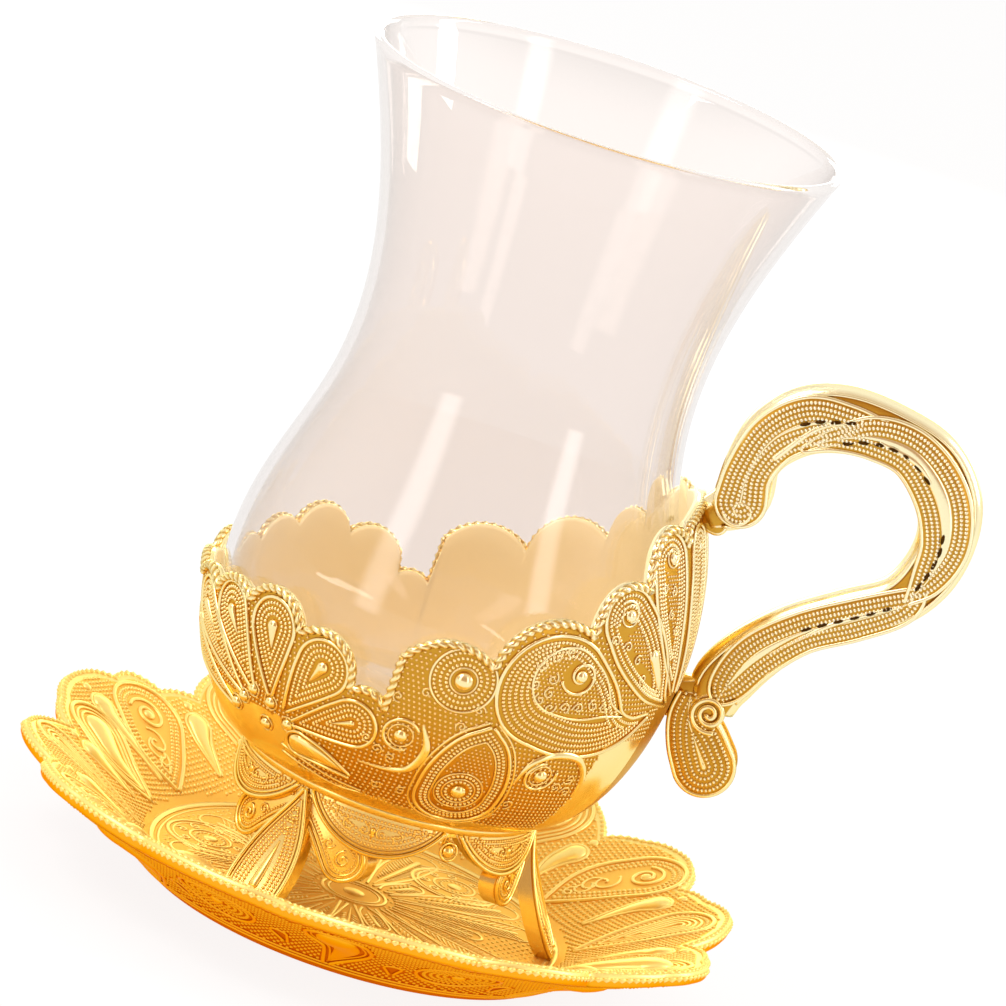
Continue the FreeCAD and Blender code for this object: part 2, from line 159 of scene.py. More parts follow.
def spiral(centre, outer, inner, turns, start=0.0, hand=1, step=0.3):
    """A path that winds in from its start angle, in degrees."""
    t = np.linspace(0, 1, int(36 * turns))
    angle = math.radians(start) + hand * 2 * math.pi * turns * t
    radius = outer + (inner - outer) * t ** 0.85
    path = np.stack([centre[0] + radius * np.cos(angle), centre[1] + radius * np.sin(angle)], 1)
    return even(path, step)


print("an even circle of radius 4 has", len(circle((0, 0), 4)), "points")

# %% [markdown]
# ## Turned surfaces
#
# The glass, the bowl and the saucer are all turned shapes. Ornament is drawn flat, in mm across
# and mm up the profile, and this class says where such a place lies on the real surface. The
# width across is measured at the height where it is, so circles stay round. A Shrinkwrap
# modifier could drop flat ornament on a body too, but it squeezes what lies on a steep side.

# %% A turned surface


class Turned:
    """A surface turned round Z from a profile of (radius, height) rows, in mm."""

    def __init__(self, profile):
        self.profile = even(profile, 0.25)
        self.run = lengths(self.profile)
        slope = np.gradient(self.profile, self.run, axis=0)
        slope /= np.linalg.norm(slope, axis=1)[:, None]
        self.outward = np.stack([slope[:, 1], -slope[:, 0]], 1)

    def at(self, up):
        """Radius, height and the outward direction at a length up the profile."""
        columns = (*self.profile.T, *self.outward.T)
        return [np.interp(up, self.run, column) for column in columns]

    def up_to(self, height):
        """Length up the profile at a height. The profile has to rise all the way."""
        return np.interp(height, self.profile[:, 1], self.run)

    def chart(self, angle, side=1):
        """Places flat drawings round an angle from the handle. Side 1 is the front, -1 the back."""
        def to_space(flat):
            across, up, off = flat.T
            radius, height, nr, nz = self.at(up)
            turn = side * (across / np.maximum(radius, 1) - math.radians(angle))
            reach = radius + off * nr
            return np.stack([reach * np.cos(turn), reach * np.sin(turn), height + off * nz], 1)
        return to_space

    def flat(self, angle, places):
        """Turns (angle from the handle, length up) into the flat drawing round one angle."""
        places = np.asarray(places, float)
        radius = self.at(places[:, 1])[0]
        return np.stack([np.radians(angle - places[:, 0]) * radius, places[:, 1]], 1)


print("a turned surface keeps its profile in steps of 0.25 mm")

# %% [markdown]
# ## Pieces made of many strokes
#
# A filigree piece has thousands of grains and hundreds of wires. As separate objects they would
# be slow, so each stroke only returns points and faces, and a Relief joins them in one mesh.

# %% A mesh gathered from strokes
# Height of plain metal: high enough that the finish paints no shade on it.
UNSHADED = 1.0


class Relief:
    """Gathers strokes and makes one mesh of them.

    Each point also keeps its height over the ground in mm, which the finish reads: raised work
    stays bright, and the finish paints brown shade into the hollows. Plain metal counts as raised."""

    def __init__(self):
        self.points, self.faces, self.heights, self.count = [], [], [], 0

    def add(self, points, faces, flip=False, heights=UNSHADED):
        for face in faces:
            self.faces.append((face[:, ::-1] if flip else face) + self.count)
        self.points.append(points)
        self.heights.append(np.broadcast_to(heights, len(points)))
        self.count += len(points)

    def lay(self, stroke, to_space):
        """Puts a flat stroke on a surface. Mirrored charts turn the faces round again. A stroke
        may bring its points' heights as a third item. Otherwise they are its own offs."""
        flat, faces, *heights = stroke
        origin = flat[:1]
        probe = to_space(np.vstack([origin, origin + np.eye(3) * 0.05]))
        flip = np.linalg.det(probe[1:] - probe[0]) < 0
        self.add(to_space(flat), faces, flip, heights[0] if heights else flat[:, 2])

    def make(self, name):
        points = np.vstack(self.points) * MM
        loops = np.concatenate([face.ravel() for face in self.faces])
        sizes = np.concatenate([np.full(len(face), face.shape[1]) for face in self.faces])
        mesh = bpy.data.meshes.new(name)
        mesh.vertices.add(len(points))
        mesh.vertices.foreach_set("co", points.ravel())
        mesh.loops.add(len(loops))
        mesh.loops.foreach_set("vertex_index", loops.astype(np.int32))
        mesh.polygons.add(len(sizes))
        starts = np.concatenate([[0], np.cumsum(sizes)[:-1]])
        mesh.polygons.foreach_set("loop_start", starts.astype(np.int32))
        mesh.update(calc_edges=True)
        mesh.polygons.foreach_set("use_smooth", np.ones(len(sizes), bool))
        heights = mesh.attributes.new("height", "FLOAT", "POINT")
        heights.data.foreach_set("value", np.concatenate(self.heights))
        piece = bpy.data.objects.new(name, mesh)
        bpy.context.scene.collection.objects.link(piece)
        print(f"{name}: {int((sizes - 2).sum())} triangles")
        return piece


def lattice(rows, columns, close_rows=False, close_columns=False):
    """Quads of a grid of rows x columns points."""
    i = np.arange(rows if close_rows else rows - 1)[:, None]
    j = np.arange(columns if close_columns else columns - 1)[None, :]
    ii, jj = (i + 1) % rows, (j + 1) % columns
    quads = np.stack([i * columns + j, i * columns + jj, ii * columns + jj, ii * columns + j], -1)
    return quads.reshape(-1, 4)


def turned_mesh(radius, height, angles, low, high):
    """Points and faces of a closed body turned round Z. Radius and height have a row for each
    step along the profile and a column for each angle. Low and high close it on the axis."""
    ring = np.stack([radius * np.cos(angles), radius * np.sin(angles), height], 2).reshape(-1, 3)
    count, around = len(angles), np.arange(len(angles))
    top = (len(radius) - 1) * count + around
    fans = [np.stack([np.roll(around, -1), around, np.full(count, len(ring))], 1),
            np.stack([top, np.roll(top, -1), np.full(count, len(ring) + 1)], 1)]
    points = np.vstack([ring, [[0, 0, low], [0, 0, high]]])
    return points, [lattice(len(radius), count, False, True), *fans]


open_grid, ring_grid = lattice(3, 4), lattice(3, 4, False, True)
print("a grid of 3 x 4 points has", len(open_grid), "faces, or", len(ring_grid), "as a ring")

# %% [markdown]
# ### Wires
#
# A filigree wire is drawn thin, bent with pliers and soldered down, so about a third of it
# sinks in the solder. Here a ring of points is carried along the wire's path. Blender's curve
# bevel does the same, but not on a curved surface, and it can't twist two strands to a rope.

# %% Wires and ropes


def sideways(path, closed):
    """Unit directions to the left of a flat path."""
    if closed:
        along = np.roll(path, -1, axis=0) - np.roll(path, 1, axis=0)
    else:
        along = np.gradient(path, axis=0)
    along /= np.maximum(np.linalg.norm(along, axis=1)[:, None], 1e-9)
    return np.stack([-along[:, 1], along[:, 0]], 1)


def wire(path, radius, lift=None, closed=False, sides=6, twist=0.0, lobes=0, depth=0.0, flat=1.0):
    """A wire along a path. Lift is its middle's height, flat its height as a share of its width,
    and lobes that turn by twist as they run make it a rope."""
    path = np.asarray(path, float)
    radius = np.broadcast_to(radius, len(path))[:, None]
    lift = 0.35 * radius if lift is None else np.broadcast_to(lift, len(path))[:, None]
    side = sideways(path, closed)
    run = lengths(path)
    angle = np.arange(sides) * 2 * math.pi / sides
    reach = radius * (1 + depth * np.cos(lobes * (angle[None, :] - run[:, None] * twist)))
    off = reach * np.cos(angle)
    up = flat * reach * np.sin(angle) + lift
    flat_places = path[:, None, :] + side[:, None, :] * off[:, :, None]
    points = np.concatenate([flat_places, up[:, :, None]], 2).reshape(-1, 3)
    faces = [lattice(len(path), sides, closed, True)]
    if not closed:
        ends = np.concatenate([path[[0, -1]], (lift + 0 * radius)[[0, -1]]], 1)
        first = len(points)
        ring = np.arange(sides)
        last = (len(path) - 1) * sides + ring
        faces.append(np.stack([np.full(sides, first), np.roll(ring, -1), ring], 1))
        faces.append(np.stack([np.full(sides, first + 1), last, np.roll(last, -1)], 1))
        points = np.vstack([points, ends])
    return points, faces


ROPE_HEIGHT = 0.16  # mm, half the way from a rope's grooves to its strands


def rope(path, radius=0.55, pitch=1.3, closed=False):
    """Two wires twisted together: a lobed wire that turns as it runs. Its grooves count as low and
    its strands as high, so the finish paints shade into the grooves."""
    sides, steps = 8, 5
    points, faces = wire(even(path, pitch / steps, closed), radius, 0.3 * radius, closed, sides,
                         math.pi / pitch, 2, 0.26)
    count = len(points) // sides
    strand = np.arange(sides) * 2 * math.pi / sides - np.arange(count)[:, None] * math.pi / steps
    heights = ROPE_HEIGHT * (1 + np.cos(2 * strand).ravel())
    return points, faces, np.append(heights, [0.0] * (len(points) - sides * count))


print("a wire 10 mm long has", len(wire(even([(0, 0), (10, 0)], 0.5), 0.3)[0]), "points")

# %% [markdown]
# ### Grains
#
# Real granules are melted balls, each soldered by a touch at its foot, and in a casting only
# their upper halves are left. One low dome is therefore enough for a grain. A particle system
# would scatter such grains at random, while a goldsmith sets them in rows, so rows are built.

# %% Grains and domes
# Rings of a grain from its foot up: share of the radius, and share of the height.
GRAIN_RINGS = ((1.0, -0.2), (0.80, 0.55))
GRAIN_SIDES = 6
DOME_RINGS = tuple((math.cos(t), math.sin(t)) for t in (-0.25, 0.25, 0.6, 0.95, 1.25))
ROW_SHARE = 0.87  # rows of close-packed grains lie this share of their pitch apart


def grains(path, radius=0.29, pitch=0.56, height=None, closed=False, stretch=1.15):
    """A row of tiny domes along a path."""
    path = even(path, pitch, closed)
    if len(path) < 2:
        path = np.vstack([path, path + 1e-4])
    side = sideways(path, closed)
    return domes(path, radius, 1.15 * radius if height is None else height, side, stretch)


def domes(centres, radius, height, side=None, stretch=1.0, sides=GRAIN_SIDES, rings=GRAIN_RINGS):
    """Domes at flat places. Stretch widens them to their side."""
    centres = np.asarray(centres, float)
    count = len(centres)
    if side is None:
        side = np.tile([[0.0, 1.0]], (count, 1))
    along = np.stack([side[:, 1], -side[:, 0]], 1)
    angle = np.arange(sides) * 2 * math.pi / sides
    shape = [[share * math.cos(a), share * math.sin(a), up] for share, up in rings for a in angle]
    shape = np.array(shape + [[0, 0, 1.0]])
    flat = centres[:, None, :] + radius * (along[:, None, :] * shape[None, :, :1]
                                           + stretch * side[:, None, :] * shape[None, :, 1:2])
    up = np.broadcast_to(height * shape[None, :, 2:], (count, len(shape), 1))
    points = np.concatenate([flat, up], 2).reshape(-1, 3)
    quads = lattice(len(rings), sides, False, True)
    top = (len(rings) - 1) * sides + np.arange(sides)
    fan = np.stack([top, np.roll(top, -1), np.full(sides, len(shape) - 1)], 1)
    steps = np.arange(count)[:, None, None] * len(shape)
    return points, [(quads[None] + steps).reshape(-1, 4), (fan[None] + steps).reshape(-1, 3)]


def dome(centre, radius, height=None):
    """One larger smooth dome."""
    height = 0.8 * radius if height is None else height
    return domes([centre], radius, height, None, 1.0, 20, DOME_RINGS)


def staggered(low, high, step):
    """Places in rows over a box, every second row moved by half a step, as grains pack."""
    rows = []
    for k, up in enumerate(np.arange(low[1], high[1], ROW_SHARE * step)):
        across = np.arange(low[0] + (k % 2) * step / 2, high[0], step)
        rows.append(np.column_stack([across, np.full(len(across), up)]))
    return np.vstack(rows)


print("a grain has", len(domes([(0, 0)], 0.3, 0.3)[0]), "points")

# %% [markdown]
# ## Leaves
#
# Petals, paisleys, teardrops and the bands of the handle are one form: a circle slides along a
# bent line while it shrinks to a point, and the leaf is what it covers. Such an outline could
# be drawn point by point as a curve, but this way three or four places make any leaf, and a
# smaller circle gives the next row of grains inside, always at the same distance.

# %% Leaf outlines


def leaf(line, inset=0.0, step=0.35):
    """Outline of circles sliding along (across, up, radius) places, from tip round to tip."""
    dense = smooth(line, 0.25)
    middle, radius = dense[:, :2], dense[:, 2] - inset
    keep = np.flatnonzero(radius > 0.03)
    if len(keep) < 3:
        return None
    middle, radius = middle[keep[0]:keep[-1] + 1], radius[keep[0]:keep[-1] + 1]
    run = lengths(middle)
    if run[-1] < 0.2:
        return None
    shrink = np.clip(np.gradient(radius, run), -0.96, 0.96)
    along = np.gradient(middle, run, axis=0)
    along /= np.linalg.norm(along, axis=1)[:, None]
    side = np.stack([-along[:, 1], along[:, 0]], 1)
    out = (radius * np.sqrt(1 - shrink ** 2))[:, None] * side
    base = middle - (radius * shrink)[:, None] * along
    start = math.acos(-shrink[0])
    turn = np.linspace(start, 2 * math.pi - start, 24)[1:-1]
    cap = middle[0] + radius[0] * (np.cos(turn)[:, None] * along[0] + np.sin(turn)[:, None] * side[0])
    return even(np.vstack([(base + out)[::-1], cap, base - out]), step)


def drop(line, height=0.4, sides=10):
    """A smooth raised leaf, crowned along its middle. Height is a share of its half width."""
    dense = smooth(line, 0.3)
    along = (dense[1, :2] - dense[0, :2]) / np.linalg.norm(dense[1, :2] - dense[0, :2])
    turn = np.linspace(0.05, math.pi / 2, 6)[:-1]
    head = dense[0, :2] - dense[0, 2] * np.cos(turn)[:, None] * along
    path = np.vstack([head, dense[:, :2]])
    radius = np.concatenate([dense[0, 2] * np.sin(turn), np.maximum(dense[:, 2], 0.02)])
    return wire(path, radius, 0.0, sides=sides, flat=height)


def thinner(line, by, least=0.15):
    """The same line with smaller circles, for the smooth core inside a leaf."""
    core = np.array(line, float)
    core[:, 2] = np.maximum(core[:, 2] - by, least)
    return core


def nested(line, first, spacing, count, towards=(0.0, 0.0), radius=0.28, pitch=0.56):
    """Rows of grains inside a leaf. A shift towards one side crowds the rows there, and grains
    that would land on others are left out."""
    line, strokes, laid = np.asarray(line, float), [], np.full((1, 2), 1e6)
    for k in range(count):
        outline = leaf(line + [*(k * np.array(towards)), 0], first + k * spacing)
        if outline is None:
            break
        path = even(outline, pitch)
        side = sideways(path, False)
        clear = np.linalg.norm(path[:, None] - laid[None], axis=2).min(axis=1) > 0.85 * pitch
        if clear.sum() < 3:
            break
        strokes.append(domes(path[clear], radius, 1.15 * radius, side[clear], 1.15))
        laid = np.vstack([laid, path[clear]])
    return strokes


def inside(places, outline):
    """True for each place within a closed outline: a line from it crosses the outline oddly."""
    x, y = np.asarray(places, float).T
    odd = np.zeros(len(x), bool)
    for (x1, y1), (x2, y2) in zip(outline, np.roll(outline, -1, axis=0)):
        crosses = (y1 > y) != (y2 > y)
        if crosses.any():
            odd ^= crosses & (x < x1 + (y - y1) * (x2 - x1) / (y2 - y1 + 1e-12))
    return odd


example = leaf([(0, 0, 4), (10, 0, 0.3)])
print("a drop of radius 4 and length 10 has an outline of", len(example), "points")

# %% [markdown]
# ## The glass
#
# A tea glass is blown in a mould and its lip is melted round in a flame. A lathe shape is the
# natural way to build it: one closed profile, with the wall's two faces, turned round Z. The
# wall has to be real, because the bright and dark lines of a glass come from its two faces. A
# Screw modifier could turn the profile as well; plain arrays keep the mesh's closing points.

# %% Glass body
GLASS_WALL = 1.3
GLASS_BASE = 9.0  # solid glass under the hollow
FOOT_SHARE = 0.530
BELLY_SHARE = 0.948
WAIST_SHARE = 0.724
WAIST_HEIGHT = 0.62
LIP_FLARE = 0.40  # outward slope just under the lip
GLASS_COLUMNS = 128


def glass_side(inset):
    """Belly, waist and rim of the glass in one run, moved in by the wall."""
    belly = np.array([BELLY_SHARE * GLASS_RIM - inset, BELLY])
    waist = np.array([WAIST_SHARE * GLASS_RIM - inset, SEAT + WAIST_HEIGHT * GLASS_HEIGHT])
    rim = np.array([GLASS_RIM - inset, glass_high[2] - GLASS_WALL / 2])
    lower = np.array([0, 0.42 * (waist[1] - belly[1])])
    upper = (rim[1] - waist[1]) / 3
    body = bezier(belly, belly + lower, waist - lower, waist)
    flare = bezier(waist, waist + [0, upper], rim - [LIP_FLARE * upper, upper], rim)
    return np.vstack([body, flare[1:]])


def glass_profile():
    """Half of the glass's section, from the middle of its foot round the lip to its inside."""
    outer, inner = glass_side(0), glass_side(GLASS_WALL)
    foot = np.array([FOOT_SHARE * GLASS_RIM, SEAT])
    inner_foot = foot + [-GLASS_WALL, GLASS_BASE]
    lip = np.linspace(0, math.pi, 9)[1:-1]
    middle = (outer[-1] + inner[-1]) / 2
    rounded = middle + GLASS_WALL / 2 * np.stack([np.cos(lip), np.sin(lip)], 1)
    heel = foot + np.array([[-1.2, 0], [-0.45, 0.12], [0.05, 0.5]])
    side = quarter(foot, outer[0], 28)[3:-1]
    inside = quarter(inner_foot, inner[0], 28)[::-1]
    hollow = [[0.6 * inner_foot[0], inner_foot[1] - 0.35], [0, inner_foot[1] - 0.5]]
    return np.vstack([[[0, SEAT + 0.6]], [[9.0, SEAT + 0.5]], heel, side, outer, rounded,
                      inner[::-1][:-1], inside, hollow])


profile = glass_profile()
rows = profile[1:-1, :, None] + np.zeros(GLASS_COLUMNS)
around = np.arange(GLASS_COLUMNS) * 2 * math.pi / GLASS_COLUMNS
glass_mesh = Relief()
glass_mesh.add(*turned_mesh(rows[:, 0], rows[:, 1], around, profile[0, 1], profile[-1, 1]))
glass = glass_mesh.make("tulip_glass")
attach(glass, "root")
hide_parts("glass")

# %% [markdown]
# ## The bowl of the holder
#
# The bowl is cast metal 1.3 mm thick with a scalloped edge: each lobe carries one motif. The
# scallops could be cut from a turned shape with a Boolean modifier, which leaves long thin
# faces along the cut. Here the edge is first worked out as a height for every angle.

# %% The bowl's edge
TAB_HALF = 20.0  # degrees
TAB_UP = TAB_TOP - BOWL_BOTTOM
TAB_SHOULDER = TAB_UP - 1.6
TAB_NOTCH = 45.4  # height of the notch beside the tab
# Lobes from the handle to the far side: the angles of the top and of the next notch, and the
# heights of both over the bowl's bottom.
LOBES = (
    (28.5, 37.5, 48.2, 40.4),
    (43.0, 52.5, 41.2, 33.9),
    (61.0, 75.0, 35.2, 27.2),
    (82.0, 95.5, 29.0, 17.0),
    (100.5, 105.2, 18.9, 18.2),
    (113.5, 121.0, 24.3, 22.7),
    (129.3, 138.2, 26.6, 23.3),
    (145.5, 153.6, 24.6, 21.3),
    (161.0, 170.0, 22.8, 20.4),
)
LAST_PETAL = 21.8  # height of the lobe at the far side
BOWL_ARC = 50.0  # radius of the side above its widest place


def bowl_profile(wall=0.0, top=TAB_TOP + 1):
    """The bowl's face: a quarter ellipse up to its widest place, then a large arc."""
    start = (RING_RADIUS - 1.0, BOWL_BOTTOM + (BOWL_FLOOR if wall else 0))
    side = quarter(start, (BOWL_RADIUS - wall, BOWL_WIDEST))
    height = np.linspace(BOWL_WIDEST, top, 30)[1:]
    radius = BOWL_RADIUS - wall - BOWL_ARC + np.sqrt(BOWL_ARC ** 2 - (height - BOWL_WIDEST) ** 2)
    return np.vstack([side, np.stack([radius, height], 1)])


def arc_height(places, at):
    """Height at a place of the round arc through three (across, height) places."""
    (x1, y1), (x2, y2), (x3, y3) = places
    a = np.array([[2 * (x2 - x1), 2 * (y2 - y1)], [2 * (x3 - x1), 2 * (y3 - y1)]])
    b = np.array([x2 ** 2 - x1 ** 2 + y2 ** 2 - y1 ** 2, x3 ** 2 - x1 ** 2 + y3 ** 2 - y1 ** 2])
    cx, cy = np.linalg.solve(a, b)
    return cy + math.sqrt(max((x1 - cx) ** 2 + (y1 - cy) ** 2 - (at - cx) ** 2, 0))


def lobes_around():
    """Every lobe as (start, top, end, height at start, at top, at end), all the way round."""
    found = [(-TAB_HALF, 0.0, TAB_HALF, TAB_SHOULDER, TAB_UP, TAB_SHOULDER)]
    start, left = TAB_HALF, TAB_NOTCH
    for peak, end, top, right in LOBES:
        found.append((start, peak, end, left, top, right))
        found.append((360 - end, 360 - peak, 360 - start, right, top, left))
        start, left = end, right
    found.append((start, 180.0, 360 - start, left, LAST_PETAL, left))
    return found


ALL_LOBES = lobes_around()


def bowl_edge(angle):
    """Height of the bowl's edge, over its bottom, at an angle from the handle."""
    angle = (angle + TAB_HALF) % 360 - TAB_HALF
    for start, peak, end, left, top, right in ALL_LOBES:
        if start - 1e-6 <= angle <= end + 1e-6:
            middle, reach = (start + end) / 2, BOWL_RADIUS
            half = reach * math.sin(math.radians((end - start) / 2))
            lean = reach * math.sin(math.radians(peak - middle))
            across = reach * math.sin(math.radians(angle - middle))
            return arc_height([(-half, left), (lean, top), (half, right)], across)
    return LAST_PETAL


bowl_face = Turned(bowl_profile())
print("heights of the edge at 0, 60 and 95 degrees:", [round(bowl_edge(a), 1) for a in (0, 60, 95)])

# %% [markdown]
# ### The bowl's body
#
# The casting is one closed shell: outer face, rounded edge, inner face. It is built as a grid
# of columns round the axis, and every column ends at the height of the edge at its angle. The
# corners of the edge get columns of their own, so the notches between the lobes stay sharp.

# %% Bowl body
COLUMNS = 432
FACE_ROWS, LINING_ROWS = 40, 14


def column_angles(count, corners):
    """Even angles, with one at each corner of the edge."""
    angles = np.linspace(0, 360, count, endpoint=False)
    for corner in corners:
        angles[np.argmin(np.abs((angles - corner + 180) % 360 - 180))] = corner % 360
    return np.sort(angles)


def polished(angle, up):
    """Where the bowl is left plain: its foot, and two patches under the motifs of each half."""
    angle = np.minimum(angle % 360, 360 - angle % 360)
    return (up < 7) | ((angle > 20) & (angle < 37) & (up < 24)) | ((angle > 119) & (up < 14.5))


def bowl_body():
    """The bowl's shell. Its height attribute marks the ground, which the finish paints with
    shade, and the polished parts.
    """
    angles = column_angles(COLUMNS, [lobe[0] for lobe in ALL_LOBES])
    edge = np.array([bowl_edge(a) for a in angles]) + BOWL_BOTTOM
    outer, inner = bowl_face, Turned(bowl_profile(BOWL_WALL))
    top_out, top_in = outer.up_to(edge - 0.4), inner.up_to(edge - 0.4)
    rows_out = np.linspace(0, 1, FACE_ROWS)[:, None] * top_out
    rows_in = np.linspace(1, 0, LINING_ROWS)[:, None] * top_in
    radius_out, height_out = outer.at(rows_out)[:2]
    radius_in, height_in = inner.at(rows_in)[:2]
    turn = np.linspace(0, math.pi, 6)[1:-1, None]
    mid, half = (radius_out[-1] + radius_in[0]) / 2, (radius_out[-1] - radius_in[0]) / 2
    radius_edge = mid + half * np.cos(turn)
    height_edge = height_out[-1] + 0.5 * np.sin(turn)
    flat_out = np.array([[4.0], [12.0]]) + 0 * edge
    flat_in = np.array([[12.0], [4.0]]) + 0 * edge
    radius = np.vstack([flat_out, radius_out, radius_edge, radius_in, flat_in])
    height = np.vstack([0 * flat_out + BOWL_BOTTOM, height_out, height_edge, height_in,
                        0 * flat_in + BOWL_BOTTOM + BOWL_WALL])
    points, faces = turned_mesh(radius, height, np.radians(angles),
                                BOWL_BOTTOM, BOWL_BOTTOM + BOWL_WALL)
    first = len(flat_out)
    heights = np.full(radius.shape, UNSHADED)
    heights[first:first + FACE_ROWS] = np.where(polished(angles, rows_out), UNSHADED, 0.0)
    body = Relief()
    body.add(points, faces, heights=np.append(heights.ravel(), [UNSHADED, UNSHADED]))
    piece = body.make("bowl_body")
    # The inner face, from the crest of the edge on, has its own finish, the second material.
    crest = first + FACE_ROWS + len(turn) // 2
    second = np.zeros(len(piece.data.polygons), np.int32)
    second[crest * COLUMNS:(len(radius) - 1) * COLUMNS] = 1
    second[-COLUMNS:] = 1
    piece.data.polygons.foreach_set("material_index", second)
    return piece


bowl = bowl_body()
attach(bowl, "root")
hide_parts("bowl")

# %% [markdown]
# ## Filigree on the bowl
#
# Each lobe of the bowl carries one motif: petals of a fan, a rosette, an egg and three
# paisleys. A motif is drawn flat, round its own angle, from leaves, rings and curls. Both
# halves of the bowl have the same motifs, so every stroke is laid on the front and the back.
# A height map could draw all this in a material, but it would stay flat at the bowl's outline.

# %% Motif helpers
WIRE = 0.30
FINE_WIRE = 0.16
GRAIN = 0.28


class Motif:
    """Draws round one angle of a turned surface, and lays each stroke on the sides given."""

    def __init__(self, face, angle, wires, grains_of, sides=(1, -1)):
        self.face, self.angle, self.sides = face, angle, sides
        self.wires, self.grains_of = wires, grains_of

    def spot(self, angle, up):
        return self.face.flat(self.angle, [(angle, up)])[0]

    def line(self, *places):
        """A leaf's line from (angle, up, radius) places."""
        places = np.array(places, float)
        return np.column_stack([self.face.flat(self.angle, places[:, :2]), places[:, 2]])

    def lay(self, stroke, grain=False):
        for side in self.sides:
            relief = self.grains_of[side] if grain else self.wires
            relief.lay(stroke, self.face.chart(self.angle, side))

    def outline(self, line, inset=0.0, radius=WIRE):
        self.lay(wire(leaf(line, inset), radius))

    def grain_rows(self, line, first, spacing, count, towards=(0.0, 0.0)):
        for stroke in nested(line, first, spacing, count, towards, GRAIN):
            self.lay(stroke, True)

    def fill(self, line, inset, step=0.62, avoid=()):
        """Staggered fine grains all over a leaf, inside an inset of its outline."""
        outline = leaf(line, inset)
        places = staggered(outline.min(axis=0), outline.max(axis=0), step)
        places = places[inside(places, outline)]
        for centre, radius in avoid:
            places = places[np.linalg.norm(places - centre, axis=1) > radius]
        self.lay(domes(places, 0.2, 0.24, sides=5), True)

    def ring(self, centre, radius, of_grains=True):
        path = circle(centre, radius)
        if of_grains:
            self.lay(grains(path, GRAIN, 0.6, closed=True), True)
        else:
            self.lay(wire(path, FINE_WIRE, closed=True))

    def boss(self, centre, radius):
        self.lay(dome(centre, radius))

    def curl(self, centre, radius, start=0.0, hand=1, turns=1.3, thick=FINE_WIRE):
        self.lay(wire(spiral(centre, radius, 0.15, turns, start, hand), thick))

    def curls(self, radius, turn, places):
        """Small curls at (angle, up, hand) places, each begun at its own turn."""
        for angle, up, hand in places:
            self.curl(self.spot(angle, up), radius, turn * angle, hand)

    def eye(self, angle, up, boss, ring):
        """The end of a scroll: a dome with a fine wire round it. Returns its place."""
        place = self.spot(angle, up)
        self.boss(place, boss)
        self.ring(place, ring, False)
        return place

    def bent_wire(self, places, radius=FINE_WIRE, lift=None):
        self.lay(wire(smooth(self.face.flat(self.angle, places), 0.3), radius, lift))

    def comma(self, *places, height=0.5):
        """A thick smooth stroke that thins out, from (angle, up, radius) places."""
        self.lay(drop(self.line(*places), height))


bowl_wires = Relief()
bowl_grains = {1: Relief(), -1: Relief()}
motif_fields = []


def bowl_motif(angle):
    return Motif(bowl_face, angle, bowl_wires, bowl_grains)


def field(motif, *places):
    """Draws a leaf's outline and keeps it, so that the ground's grains stay outside it."""
    line = motif.line(*places)
    motif.outline(line)
    motif_fields.append((motif.angle, leaf(line, -0.35)))
    return line


print("10 degrees off the front is", bowl_motif(90).spot(80, 20)[0].round(2), "mm to the side")

# %% [markdown]
# ### The fan of petals
#
# Six petals on each half spread from a knot of small domes towards the far side, and one more
# closes the gap between the halves. In real filigree a petal is a bent wire filled with rows
# of grains round a drop of metal, and it is built in that order: outline, rows, drop.

# %% Fan of petals


def petal(root, centre, radius, sides=(1, -1)):
    """A petal of the fan: nested rows of grains round a smooth teardrop."""
    motif = Motif(bowl_face, centre[0], bowl_wires, bowl_grains, sides)
    middle = [(2 * c + r) / 3 for c, r in zip(centre, root)]
    line = field(motif, (*centre, radius), (*middle, 0.72 * radius), (*root, 0.35))
    motif.grain_rows(line, 0.80, 0.74, 3)
    motif.lay(drop(thinner(line, 3.0, 0.12)[:2], 0.8))


FAN = (
    ((119.0, 15.0), (103.0, 18.9), 3.5),
    ((121.6, 16.5), (113.3, 25.0), 3.9),
    ((126.8, 17.5), (129.3, 27.2), 3.9),
    ((133.0, 17.0), (145.3, 25.8), 3.8),
    ((137.5, 15.5), (160.8, 23.3), 3.7),
    ((142.0, 12.5), (169.0, 17.3), 2.7),
)
for root, centre, radius in FAN:
    petal(root, centre, radius)
petal((180.0, 8.6), (180.0, 17.4), 2.75, sides=(1,))
KNUCKLES = ((133, 16.9), (126.6, 16.4), (120.6, 14.3), (137, 14.9), (128.4, 12.6), (141, 13.0))
for angle, up in KNUCKLES:
    motif = bowl_motif(angle)
    motif.lay(dome(motif.spot(angle, up), 0.85, 0.75))
    motif.ring(motif.spot(angle, up), 1.15, False)
sweep = bowl_motif(111)
line = field(sweep, (117.0, 12.0, 2.0), (110.0, 11.5, 1.5), (101.0, 10.0, 0.3))
sweep.lay(drop(line - [0, 0, 0.35], 0.45))
for lower in (0.0, 1.3):
    sweep.bent_wire([(123, 10.5 - lower), (114, 9.2 - lower), (105, 8.2 - lower),
                     (97, 7.9 - 0.4 * lower)], 0.22)
print("petals:", len(FAN), "on each half and one between the halves")

# %% [markdown]
# ### Rosette, egg and comma
#
# Beside the fan stand a round rosette under its own lobe, an egg below it, and a thick comma
# that links the two. They are rings round a dome, so each is a short loop over radii. The
# small curls round them are bits of wire that fill what the large motifs leave.

# %% Rosette, egg and comma
ROSETTE_RIM = 4.5
rosette = bowl_motif(80.8)
middle = rosette.spot(80.8, 30.1)
rosette.boss(middle, 1.35)
for radius in (2.35, 3.15, 3.95):
    rosette.ring(middle, radius)
rosette.ring(middle, 1.85, False)
rosette.lay(wire(circle(middle, ROSETTE_RIM), 0.2, closed=True))
motif_fields.append((80.8, circle(middle, ROSETTE_RIM + 0.4)))

